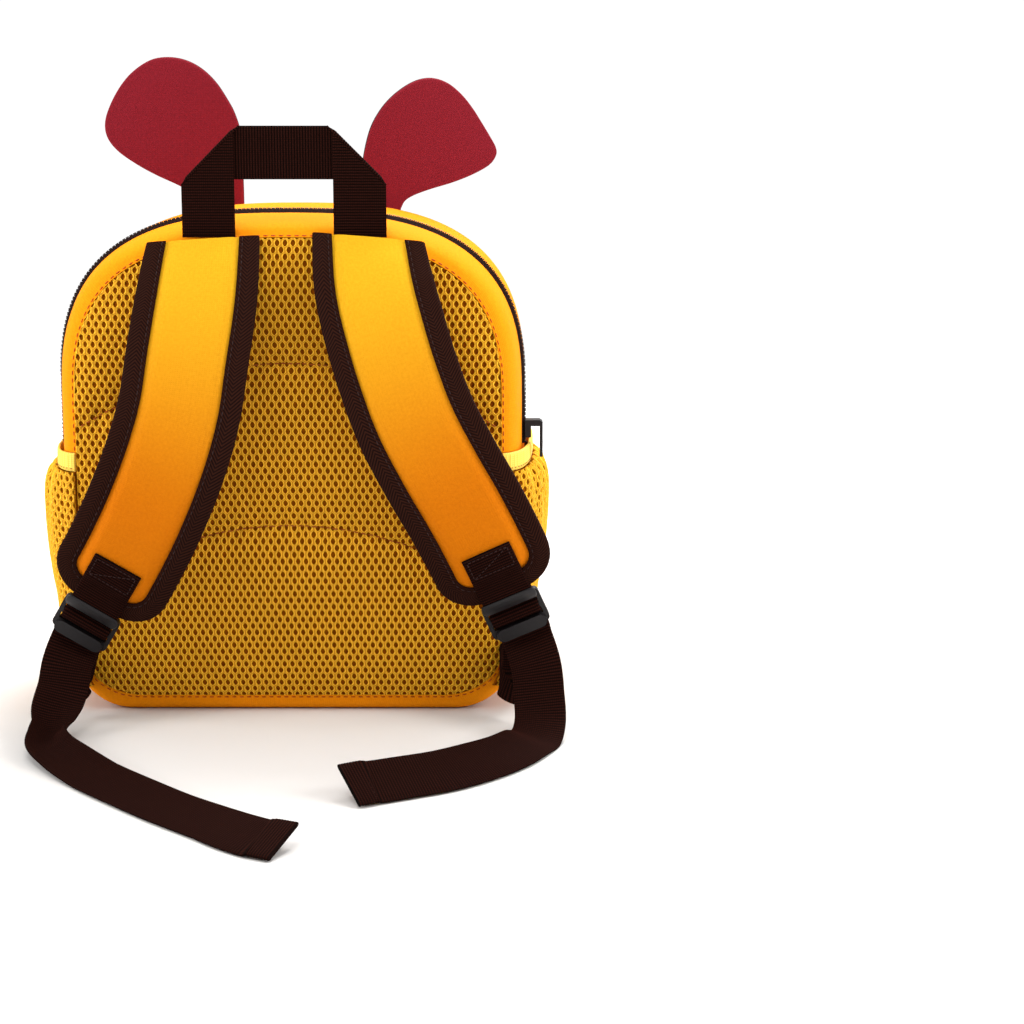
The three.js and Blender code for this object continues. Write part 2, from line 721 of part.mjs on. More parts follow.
// Rows of the strap: distance along it and half its width, drawn in from the edge by a margin
function strapRows(length, margin) {
  const { halfWidth, cornerRadius, straightRows, cornerSteps, padFade } = STRAP;
  const rows = [];
  const padEnd = length - cornerRadius - padFade;
  for (let k = 0; k <= straightRows; k++) {
    rows.push({ along: (padEnd * k) / straightRows, half: halfWidth - margin, thin: false });
  }
  for (let k = 0; k <= cornerSteps; k++) {
    const angle = (k / cornerSteps) * (Math.PI / 2);
    const radius = cornerRadius - margin;
    rows.push({
      along: length - cornerRadius + radius * Math.sin(angle),
      half: halfWidth - cornerRadius + radius * Math.cos(angle),
      thin: true,
    });
  }
  return rows;
}

function strapLayer(frame, side) {
  const margin = STRAP.binding + SEAM_GAP;
  const edge = STRAP.halfWidth - margin;
  const padEdge = (STRAP.halfWidth - STRAP.bindingWidth - SEAM_GAP * 1.5) / edge;
  const padStart = padEdge - STRAP.padFade / edge;
  const columns = [-1, -padEdge, -padStart, -0.25, 0.25, padStart, padEdge, 1];
  const outer = [];
  const inner = [];
  for (const row of strapRows(frame.length, margin)) {
    outer.push(columns.map((share) => {
      const thin = row.thin || Math.abs(share) >= padEdge;
      const rise = thin ? STRAP.edgeRise : STRAP.padRise;
      return frame.point(row.along, share * row.half, side * rise);
    }));
    inner.push(columns.map((share) => frame.point(row.along, share * row.half, (side * SEAM_GAP) / 2)));
  }
  return sheetSolid(outer, inner);
}

// Binding tape: a channel over the strap's edge, down one side, round the end and up the other
function strapBinding(frame) {
  const { halfWidth, cornerRadius, edgeRise, binding, bindingWidth } = STRAP;
  const rows = strapRows(frame.length, 0);
  const path = [];
  for (const row of rows) {
    const over = row.along - (frame.length - cornerRadius);
    const corner = row.thin ? Math.asin(Math.min(over / cornerRadius, 1)) : 0;
    path.push({ along: row.along, across: row.half, inAlong: -Math.sin(corner), inAcross: -Math.cos(corner) });
  }
  const otherSide = path.slice().reverse().map((row) => (
    { ...row, across: -row.across, inAcross: -row.inAcross }
  ));
  const rim = edgeRise + SEAM_GAP;
  const section = [
    { inward: 0, out: -rim - binding },
    { inward: 0, out: rim + binding },
    { inward: bindingWidth, out: rim + binding },
    { inward: bindingWidth, out: rim },
    { inward: binding, out: rim },
    { inward: binding, out: -rim },
    { inward: bindingWidth, out: -rim },
    { inward: bindingWidth, out: -rim - binding },
  ];
  const loops = [...path, ...otherSide].map((row) => section.map((corner) => frame.point(
    row.along + row.inAlong * corner.inward,
    row.across + row.inAcross * corner.inward,
    corner.out,
  )));
  const flat = section.map((corner) => new THREE.Vector2(corner.inward, corner.out));
  return loopSolid(loops, flat);
}

// A strip of webbing through places that each give the direction of its width
function webbingStrip(places, width, thick) {
  const loops = places.map((place, i) => {
    const before = places[Math.max(i - 1, 0)].centre;
    const after = places[Math.min(i + 1, places.length - 1)].centre;
    const here = place.centre;
    const arriving = here.clone().sub(before).normalize();
    const leaving = after.clone().sub(here).normalize();
    const along = arriving.clone().add(leaving).normalize();
    const across = place.across.clone().addScaledVector(along, -place.across.dot(along)).normalize();
    const normal = new THREE.Vector3().crossVectors(along, across);
    const turn = i === 0 || i === places.length - 1 ? 1 : Math.max(arriving.dot(along), 0.6);
    const half = (thick + (place.extra ?? 0)) / 2 / turn;
    const corner = (a, n) => here.clone()
      .addScaledVector(across, (a * width) / 2)
      .addScaledVector(normal, n * half);
    return [corner(-1, -1), corner(1, -1), corner(1, 1), corner(-1, 1)];
  });
  const flat = [[-1, -1], [1, -1], [1, 1], [-1, 1]].map(([x, y]) => new THREE.Vector2(x, y));
  return loopSolid(loops, flat);
}

// Short webbing sewn on the strap's face and looped round the buckle's top bar
function buckleWebbing(frame) {
  const half = WEBBING.thick / 2;
  const overPad = STRAP.padRise + SEAM_GAP + half;
  const overTape = STRAP.edgeRise + SEAM_GAP + STRAP.binding + SEAM_GAP + half;
  const overBar = BUCKLE.halfThick + SEAM_GAP + half;
  const barEnd = BUCKLE.start + BUCKLE.topBar + SEAM_GAP + half;
  const turn = SEAM_GAP + half;
  const route = [
    { down: -26, out: overPad },
    { down: -STRAP.cornerRadius - STRAP.padFade + 1, out: overPad },
    { down: -STRAP.cornerRadius + 1, out: overTape + 0.15 },
    { down: 0.9, out: overTape },
    { down: BUCKLE.start + 0.7, out: overBar + 0.35 },
    { down: barEnd - turn, out: overBar },
    { down: barEnd - turn * 0.29, out: overBar - turn * 0.29 },
    { down: barEnd, out: overBar - turn },
    { down: barEnd, out: turn - overBar },
    { down: barEnd - turn * 0.29, out: turn * 0.29 - overBar },
    { down: barEnd - turn, out: -overBar },
    { down: 0.6, out: -overBar },
  ];
  const places = route.map((row) => ({
    centre: frame.point(frame.length + row.down, 0, row.out),
    across: frame.frameAt(frame.length + row.down).across,
  }));
  return webbingStrip(places, WEBBING.adjuster, WEBBING.thick);
}

// Two-bar buckle with a rounded lever tab
function ladderLock() {
  const half = WEBBING.adjuster / 2 + 0.4;
  const outerHalf = half + BUCKLE.sideBar;
  const end = BUCKLE.start + BUCKLE.length;
  const rounded = (left, right, low, high, radius) => {
    const shape = new THREE.Shape();
    shape.moveTo(left + radius, low);
    shape.lineTo(right - radius, low);
    shape.absarc(right - radius, low + radius, radius, -Math.PI / 2, 0);
    shape.lineTo(right, high - radius);
    shape.absarc(right - radius, high - radius, radius, 0, Math.PI / 2);
    shape.lineTo(left + radius, high);
    shape.absarc(left + radius, high - radius, radius, Math.PI / 2, Math.PI);
    shape.lineTo(left, low + radius);
    shape.absarc(left + radius, low + radius, radius, Math.PI, Math.PI * 1.5);
    return shape;
  };
  const window = (from, to) => new THREE.Path([
    new THREE.Vector2(-half, -to),
    new THREE.Vector2(-half, -from),
    new THREE.Vector2(half, -from),
    new THREE.Vector2(half, -to),
  ]);
  const outline = rounded(-outerHalf, outerHalf, -end + 1.5, -BUCKLE.start, BUCKLE.cornerRadius);
  outline.holes.push(window(BUCKLE.start + BUCKLE.topBar, BUCKLE.middleBar));
  outline.holes.push(window(BUCKLE.middleEnd, BUCKLE.leverBar));
  const settings = { bevelEnabled: false, curveSegments: 3 };
  const plate = new THREE.ExtrudeGeometry(outline, { ...settings, depth: 2 * BUCKLE.halfThick });
  plate.translate(0, 0, -BUCKLE.halfThick);
  const tab = rounded(-half, half, -end, -BUCKLE.leverBar, 3.2);
  const lever = new THREE.ExtrudeGeometry(tab, { ...settings, depth: BUCKLE.halfThick + BUCKLE.leverRise });
  return fromSolid(toSolid(plate).add(toSolid(lever)));
}

// Adjusting webbing: from the base corner up behind the buckle, over its middle bar, then a free tail
function adjusterWebbing(frame, tail, reach, side) {
  const threaded = [
    { down: 26, out: -5.9 },
    { down: 18, out: -5.3 },
    { down: 14, out: -4.8 },
    { down: 10.6, out: -3.5 },
    { down: 9, out: -1.8 },
    { down: 8.6, out: 0 },
    { down: 8.9, out: 1.5 },
    { down: 10, out: 2.45 },
    { down: 11.6, out: 2.7 },
    { down: 13.2, out: 2.35 },
    { down: 14.2, out: 1.1 },
    { down: 14.3, out: -0.4 },
    { down: 14.6, out: -1.8 },
    { down: 15.7, out: -2.8 },
    { down: 17.6, out: -3.1 },
    { down: 23, out: -3.2 },
  ].map((row) => ({
    centre: frame.point(frame.length + row.down, 0, row.out),
    across: frame.frameAt(frame.length).across,
  }));
  const seam = new THREE.Vector3(
    side * (BODY.halfWidth - GUSSET_ROWS[0].inset),
    BACK_DEPTH - ANCHOR.standOff,
    ANCHOR.up,
  );
  const upright = new THREE.Vector3(0, 0, -side);
  const clear = seam.clone();
  clear.y -= ANCHOR.straight;
  const rise = [{ centre: seam, across: upright }];
  for (const share of [0, 0.35, 0.7]) {
    rise.push({
      centre: clear.clone().lerp(threaded[0].centre, share),
      across: upright.clone().lerp(threaded[0].across, share).normalize(),
    });
  }
  const half = WEBBING.adjuster / 2;
  const rows = tail.map((row) => {
    const lift = THREE.MathUtils.degToRad(row.lift);
    const turn = THREE.MathUtils.degToRad(row.turn);
    const lying = half * Math.abs(Math.sin(lift)) + (WEBBING.thick / 2) * Math.cos(lift) + SEAM_GAP;
    return {
      centre: new THREE.Vector3(
        row.across * BODY.halfWidth,
        BACK_DEPTH - row.out * reach,
        row.up ? row.up * TAIL.drop : lying,
      ),
      across: new THREE.Vector3(
        Math.cos(turn) * Math.cos(lift),
        Math.sin(turn) * Math.cos(lift),
        Math.sin(lift),
      ),
    };
  });
  const hem = rows.at(-1).centre.clone().sub(rows.at(-2).centre).normalize();
  const hemStart = {
    centre: rows.at(-1).centre.clone().addScaledVector(hem, 0.6),
    across: rows.at(-1).across,
    extra: TAIL_HEM.extra,
  };
  const hemEnd = {
    centre: rows.at(-1).centre.clone().addScaledVector(hem, TAIL_HEM.length),
    across: rows.at(-1).across,
    extra: TAIL_HEM.extra,
  };
  hemStart.centre.z += TAIL_HEM.extra / 2;
  hemEnd.centre.z += TAIL_HEM.extra / 2;
  return webbingStrip([...rise, ...threaded, ...rows, hemStart, hemEnd], WEBBING.adjuster, WEBBING.thick);
}

function buildStrap(side, label, route, tail, reach) {
  const frame = strapFrame(route);
  addPiece(`shoulder_face_${label}`, strapLayer(frame, 1), NEOPRENE_YELLOW);
  addPiece(`shoulder_mesh_${label}`, strapLayer(frame, -1), SPACER_MESH);
  addPiece(`shoulder_binding_${label}`, strapBinding(frame), BINDING_BROWN);
  addPiece(`buckle_webbing_${label}`, buckleWebbing(frame), WEBBING_BROWN);
  addPiece(`adjuster_${label}`, adjusterWebbing(frame, tail, reach, side), WEBBING_BROWN);

  const end = frame.frameAt(frame.length);
  const buckle = new THREE.Group();
  const up = end.tangent.clone().negate();
  const right = new THREE.Vector3().crossVectors(up, end.normal);
  const basis = new THREE.Matrix4().makeBasis(right, up, end.normal);
  buckle.quaternion.setFromRotationMatrix(basis);
  buckle.position.copy(end.centre);
  model.add(buckle);
  addPiece(`ladder_lock_${label}`, ladderLock(), BUCKLE_PLASTIC, buckle);
}

buildBackPanel();
buildGussets();
buildZip();
buildFrontPanel();
buildPockets();
buildEars();
buildHandle();
buildStrap(-1, 'left', LEFT_ROUTE, LEFT_TAIL, TAIL.leftReach);
buildStrap(1, 'right', RIGHT_ROUTE, RIGHT_TAIL, TAIL.rightReach);

export default model;
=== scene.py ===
"""A toddler's neoprene backpack seen from its strap side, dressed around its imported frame."""

import logging
import math
from dataclasses import dataclass, field
from enum import Enum
from typing import Callable, Sequence

import bpy
import numpy as np
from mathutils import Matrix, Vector
from mathutils.geometry import delaunay_2d_cdt


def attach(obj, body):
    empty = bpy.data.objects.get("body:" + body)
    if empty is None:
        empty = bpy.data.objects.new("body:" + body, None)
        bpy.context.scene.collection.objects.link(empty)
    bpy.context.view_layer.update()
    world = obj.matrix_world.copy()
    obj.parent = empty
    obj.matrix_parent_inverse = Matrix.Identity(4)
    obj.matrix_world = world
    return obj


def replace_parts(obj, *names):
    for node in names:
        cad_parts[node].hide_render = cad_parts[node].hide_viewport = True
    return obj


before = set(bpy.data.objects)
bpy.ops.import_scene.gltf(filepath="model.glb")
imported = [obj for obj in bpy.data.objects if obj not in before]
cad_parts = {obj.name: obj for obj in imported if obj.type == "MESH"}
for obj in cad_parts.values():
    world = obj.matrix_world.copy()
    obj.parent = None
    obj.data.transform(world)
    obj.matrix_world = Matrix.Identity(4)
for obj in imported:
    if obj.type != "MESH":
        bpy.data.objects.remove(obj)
LOG = logging.getLogger("backpack")
MM = 0.001
ROOT = "root"
CLOTH_MAP = "cloth"
PAINTED_LIGHT_ATTRIBUTE = "rim"
SEAM_GAP = 0.3
BUMP_STRENGTH = 0.7

Array = np.ndarray
Tree = bpy.types.NodeTree
Node = bpy.types.Node
Socket = bpy.types.NodeSocket
Places = Callable[[Array, Array], Array]


class Slot(Enum):
    """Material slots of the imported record."""

    NEOPRENE = "neoprene_yellow"
    MESH = "spacer_mesh"
    EAR = "neoprene_burgundy"
    WEBBING = "webbing"
    BINDING = "binding"
    PLASTIC = "buckle_plastic"
    ELASTIC = "elastic"
    ZIP = "zip"


# Colour and node helpers


def linear(hex_colour: str) -> tuple[float, float, float, float]:
    """Turn an sRGB hex colour to linear RGBA.

    Args:
        hex_colour: six hex digits with a leading hash.

    Returns:
        The colour as four linear numbers.
    """
    values = [int(hex_colour[i:i + 2], 16) / 255 for i in (1, 3, 5)]
    linear_values = [v / 12.92 if v <= 0.04045 else ((v + 0.055) / 1.055) ** 2.4 for v in values]
    return (*linear_values, 1.0)


def add_node(tree: Tree, kind: str, inputs: dict | None = None, **settings) -> Node:
    """Add a node with its settings, values and links.

    Args:
        tree: the material's node tree.
        kind: the node's type name.
        inputs: socket name or number to a value, or to the socket that feeds it.
        settings: properties of the node.

    Returns:
        The new node.
    """
    node = tree.nodes.new(kind)
    for name, value in settings.items():
        setattr(node, name, value)
    for socket, value in (inputs or {}).items():
        if isinstance(value, Socket):
            tree.links.new(value, node.inputs[socket])
        else:
            node.inputs[socket].default_value = value
    return node


def per_metre(pitch_mm: float) -> float:
    """Give the number of repeats in a metre for a pitch in millimetres."""
    return 1000.0 / pitch_mm


def wave_scale(pitch_mm: float) -> float:
    """Give the wave texture's scale for ridges that far apart, as it draws 20 ridges in 2 pi."""
    return per_metre(pitch_mm) * math.pi / 10


@dataclass(frozen=True)
class Finish:
    """A surface finish that makes one material from its own patterns."""

    name: str
    light: str
    dark: str
    roughness: float
    specular: float = 0.3

    def make(self) -> bpy.types.Material:
        """Build the material.

        Returns:
            The finished material.
        """
        material = bpy.data.materials.new(self.name)
        material.use_nodes = True
        tree = material.node_tree
        tree.nodes.clear()
        shader = add_node(tree, "ShaderNodeBsdfPrincipled", {
            "Roughness": self.roughness, "Specular IOR Level": self.specular,
        })
        self.dress(tree, shader)
        output = add_node(tree, "ShaderNodeOutputMaterial")
        tree.links.new(shader.outputs["BSDF"], output.inputs["Surface"])
        material.diffuse_color = linear(self.light)
        return material

    def dress(self, tree: Tree, shader: Node) -> None:
        """Set the shader's colour and relief."""
        shader.inputs["Base Color"].default_value = linear(self.light)

    def tint(self, tree: Tree, shader: Node, share: Socket) -> None:
        """Colour the shader between the dark and the light colour.

        Args:
            tree: the material's node tree.
            shader: the node that gets the colour.
            share: socket with the light colour's share.
        """
        mix = add_node(tree, "ShaderNodeMix", {
            "Factor": share, "A": linear(self.dark), "B": linear(self.light),
        }, data_type="RGBA")
        tree.links.new(mix.outputs["Result"], shader.inputs["Base Color"])

    def emboss(
        self, tree: Tree, shader: Node, height: Socket, depth: float,
    ) -> None:
        """Give the shader relief.

        Args:
            tree: the material's node tree.
            shader: the node that gets the relief.
            height: socket with a height of 0 to 1.
            depth: how deep the relief is, in millimetres.
        """
        relief = add_node(tree, "ShaderNodeBump", {
            "Height": height, "Distance": depth * MM, "Strength": BUMP_STRENGTH,
        })
        tree.links.new(relief.outputs["Normal"], shader.inputs["Normal"])


@dataclass(frozen=True)
class KnitNeoprene(Finish):
    """Foam sheet laminated with polyester jersey: matt, soft, with tiny loops in columns."""

    # Jersey loops are about 0.6 mm; they are drawn nearly twice as large so that they show
    loop: float = 1.1
    loop_depth: float = 0.08
    course_share: float = 0.8
    sheen: float = 0.12
    sheen_roughness: float = 0.5
    patch: float = 1.3

    def dress(self, tree: Tree, shader: Node) -> None:
        """Draw loops whose crowns catch the light, over a faintly uneven dye.

        Args:
            tree: the material's node tree.
            shader: the node to dress.
        """
        where = add_node(tree, "ShaderNodeUVMap", uv_map=CLOTH_MAP).outputs["UV"]
        columns = add_node(tree, "ShaderNodeTexWave", {
            "Vector": where, "Scale": wave_scale(self.loop),
        }, bands_direction="X")
        courses = add_node(tree, "ShaderNodeTexWave", {
            "Vector": where, "Scale": wave_scale(self.loop * self.course_share),
        }, bands_direction="Y")
        loops = add_node(tree, "ShaderNodeMath", {
            0: columns.outputs["Fac"], 1: courses.outputs["Fac"],
        }, operation="MULTIPLY")
        grain = add_node(tree, "ShaderNodeTexNoise", {
            "Vector": where, "Scale": per_metre(self.patch), "Detail": 3.0,
        })
        share = add_node(tree, "ShaderNodeMapRange", {
            "Value": grain.outputs["Fac"], "From Min": 0.3, "From Max": 0.7,
        })
        self.tint(tree, shader, share.outputs["Result"])
        self.emboss(tree, shader, loops.outputs["Value"], self.loop_depth)
        shader.inputs["Sheen Weight"].default_value = self.sheen
        shader.inputs["Sheen Roughness"].default_value = self.sheen_roughness
        shader.inputs["Sheen Tint"].default_value = linear(self.light)


@dataclass(frozen=True)
class ShadedStrapNeoprene(KnitNeoprene):
    """A copy of the jersey neoprene with painted light and shade: paler yellow at the shoulder as painted
    light, deepening to orange towards the strap's end as painted shade.
    """

    shade_light: str = "#CA6E04"
    shade_dark: str = "#C26602"
    # The strap's length in millimetres, and the shares of it where the painted shade starts and ends to
    # deepen the colour
    length: float = 190.0
    shade_from: float = 0.05
    shade_to: float = 0.74

    def tint(self, tree: Tree, shader: Node, share: Socket) -> None:
        """Paint shade that deepens the colour from the shoulder down to the strap's end.

        Args:
            tree: the material's node tree.
            shader: the node that gets the colour.
            share: socket with the light colours' share.
        """
        where = add_node(tree, "ShaderNodeUVMap", uv_map=CLOTH_MAP).outputs["UV"]
        parts = add_node(tree, "ShaderNodeSeparateXYZ", {"Vector": where})
        # Painted shade: the share of deeper orange grows from the shoulder down the strap
        down = add_node(tree, "ShaderNodeMapRange", {
            "Value": parts.outputs["Y"], "From Min": self.shade_from * self.length * MM,
            "From Max": self.shade_to * self.length * MM,
        }, interpolation_type="SMOOTHSTEP")
        pair = [
            add_node(tree, "ShaderNodeMix", {
                "Factor": down.outputs["Result"], "A": linear(top), "B": linear(shade_colour),
            }, data_type="RGBA").outputs["Result"]
            for top, shade_colour in ((self.dark, self.shade_dark), (self.light, self.shade_light))
        ]
        mix = add_node(tree, "ShaderNodeMix", {"Factor": share, "A": pair[0], "B": pair[1]}, data_type="RGBA")
        tree.links.new(mix.outputs["Result"], shader.inputs["Base Color"])


@dataclass(frozen=True)
class SpacerStrand(Finish):
    """Knitted polyester strands of a spacer mesh: small bright filaments that run round the holes."""

    # Filaments are about 0.2 mm; they are drawn at three times that so that they show
    filament: float = 0.65
    filament_depth: float = 0.08
    swirl: float = 3.0
    filament_share: float = 0.3

    def dress(self, tree: Tree, shader: Node) -> None:
        """Draw filaments that turn with a slow swirl, as they do round the holes.

        Args:
            tree: the material's node tree.
            shader: the node to dress.
        """
        where = add_node(tree, "ShaderNodeUVMap", uv_map=CLOTH_MAP).outputs["UV"]
        filaments = add_node(tree, "ShaderNodeTexWave", {
            "Vector": where, "Scale": wave_scale(self.filament), "Distortion": self.swirl, "Detail": 1.0,
            "Detail Scale": 0.4,
        }, bands_direction="X")
        rim = add_node(tree, "ShaderNodeAttribute", attribute_name=PAINTED_LIGHT_ATTRIBUTE)
        # Painted highlight makes the strands bright at their crests round each hole, and painted shade makes
        # them dark between the holes and down the holes' walls
        share = add_node(tree, "ShaderNodeMath", {
            0: filaments.outputs["Fac"], 1: self.filament_share, 2: rim.outputs["Fac"],
        }, operation="MULTIPLY_ADD")
        self.tint(tree, shader, share.outputs["Value"])
        self.emboss(tree, shader, filaments.outputs["Fac"], self.filament_depth)


@dataclass(frozen=True)
class RibbedWebbing(Finish):
    """Woven polypropylene webbing: dark dull yarns, with ribs across its length."""

    rib: float = 1.3
    yarn: float = 1.0
    yarn_share: float = 0.6
    depth: float = 0.1

    def dress(self, tree: Tree, shader: Node) -> None:
        """Draw ribs whose crowns are lighter as painted highlight and whose hollows are darker as painted
        shade, parted by the lengthwise yarns.

        Args:
            tree: the material's node tree.
            shader: the node to dress.
        """
        where = add_node(tree, "ShaderNodeUVMap", uv_map=CLOTH_MAP).outputs["UV"]
        ribs = add_node(tree, "ShaderNodeTexWave", {
            "Vector": where, "Scale": wave_scale(self.rib),
        }, bands_direction="X")
        yarns = add_node(tree, "ShaderNodeTexWave", {
            "Vector": where, "Scale": wave_scale(self.yarn),
        }, bands_direction="Y")
        crowns = add_node(tree, "ShaderNodeMath", {
            0: yarns.outputs["Fac"], 1: self.yarn_share, 2: 1 - self.yarn_share,
        }, operation="MULTIPLY_ADD")
        weave_and_highlight = add_node(tree, "ShaderNodeMath", {
            0: ribs.outputs["Fac"], 1: crowns.outputs["Value"],
        }, operation="MULTIPLY")
        # Painted highlight on the rib crowns and painted shade between them
        self.tint(tree, shader, weave_and_highlight.outputs["Value"])
        self.emboss(tree, shader, weave_and_highlight.outputs["Value"], self.depth)


@dataclass(frozen=True)
class BindingTape(Finish):
    """Polyester twill tape: fine yarns in a herringbone that turns at the middle of each column."""

    # Tape yarns are about 0.3 mm; they are drawn coarser so that they show
    yarn: float = 0.85
    yarn_depth: float = 0.09
    column: float = 5.0

    def dress(self, tree: Tree, shader: Node) -> None:
        """Draw diagonals that turn back and forth over the tape's width.

        Args:
            tree: the material's node tree.
            shader: the node to dress.
        """
        where = add_node(tree, "ShaderNodeUVMap", uv_map=CLOTH_MAP).outputs["UV"]
        parts = add_node(tree, "ShaderNodeSeparateXYZ", {"Vector": where})
        turned = add_node(tree, "ShaderNodeMath", {
            0: parts.outputs["Y"], 1: self.column * MM,
        }, operation="PINGPONG")
        both = add_node(tree, "ShaderNodeCombineXYZ", {"X": parts.outputs["X"], "Y": turned.outputs["Value"]})
        bones = add_node(tree, "ShaderNodeTexWave", {
            "Vector": both.outputs["Vector"], "Scale": wave_scale(self.yarn),
        }, bands_direction="DIAGONAL")
        self.tint(tree, shader, bones.outputs["Fac"])
        self.emboss(tree, shader, bones.outputs["Fac"], self.yarn_depth)


@dataclass(frozen=True)
class MouldedPlastic(Finish):
    """Acetal or nylon moulded in a finely sparked tool: a soft sheen over faint grain."""

    # The tool's grain is about 0.1 mm; it is drawn coarser so that it shows
    grit: float = 0.5
    grit_depth: float = 0.04
    ior: float = 1.48

    def dress(self, tree: Tree, shader: Node) -> None:
        """Draw the tool's grain and a faintly uneven tone.

        Args:
            tree: the material's node tree.
            shader: the node to dress.
        """
        where = add_node(tree, "ShaderNodeTexCoord").outputs["Object"]
        grain = add_node(tree, "ShaderNodeTexNoise", {
            "Vector": where, "Scale": per_metre(self.grit), "Detail": 2.0,
        })
        self.tint(tree, shader, grain.outputs["Fac"])
        self.emboss(tree, shader, grain.outputs["Fac"], self.grit_depth)
        shader.inputs["IOR"].default_value = self.ior


class Wardrobe:
    """All finishes of the bag, each made once."""

    def __init__(self) -> None:
        """Make every material."""
        self.neoprene = KnitNeoprene(
            "yellow_jersey_neoprene", "#F3920B", "#EA8806", 0.8, 0.06, sheen=0.03).make()
        # The straps get their own copy of the neoprene: paler yellow as painted light, deepening to orange
        # down the strap as painted shade
        self.strap = ShadedStrapNeoprene(
            "strap_yellow_jersey_neoprene_painted_light_and_shade", "#D9A21B", "#D09814", 0.8, 0.06, sheen=0.03).make()
        self.ear = KnitNeoprene("burgundy_jersey_neoprene", "#7B1B26", "#731822", 0.8, 0.05, loop=1.4).make()
        self.ear_edge = KnitNeoprene("grey_brown_foam_edge", "#3E3130", "#2C2322", 0.9, 0.1, loop=0.9).make()
        # The strands' light colour serves the painted highlight on their crests and the dark one the painted
        # shade between the holes
        self.strand = SpacerStrand("ochre_spacer_strands", "#FCBE2E", "#9E5A05", 0.65, 0.08).make()
        # The layer under the nets is coloured dark brown as painted shade inside the holes
        self.spacer_underlayer_painted_shade = KnitNeoprene(
            "ochre_spacer_underlayer_painted_shade", "#8A4C08", "#6C3A05", 0.9, 0.0, sheen=0.0).make()
        self.webbing = RibbedWebbing("brown_polypropylene_webbing", "#2E120C", "#060201", 0.85, 0.03).make()
        self.binding = BindingTape("plum_brown_binding_tape", "#30170F", "#110706", 0.85, 0.03).make()
        self.elastic = RibbedWebbing("yellow_knit_elastic", "#FFE070", "#F3C446", 0.75, 0.2, rib=1.0).make()
        self.plastic = MouldedPlastic("black_acetal", "#171214", "#0E0B0C", 0.42, 0.28).make()
        self.zip_coil = MouldedPlastic("brown_nylon_coil", "#24140F", "#150B08", 0.42, 0.4).make()
        self.zip_tape = BindingTape(
            "brown_woven_zip_tape", "#26120E", "#120706", 0.85, 0.06, column=1.6).make()
        self.orange_thread = MouldedPlastic("orange_polyester_thread", "#C2431A", "#A3330F", 0.65, 0.2).make()
        self.ochre_thread = MouldedPlastic("amber_polyester_thread", "#A5520C", "#874109", 0.65, 0.2).make()
        self.dark_thread = MouldedPlastic("dark_polyester_thread", "#321D1B", "#241413", 0.65, 0.2).make()


# Mesh helpers


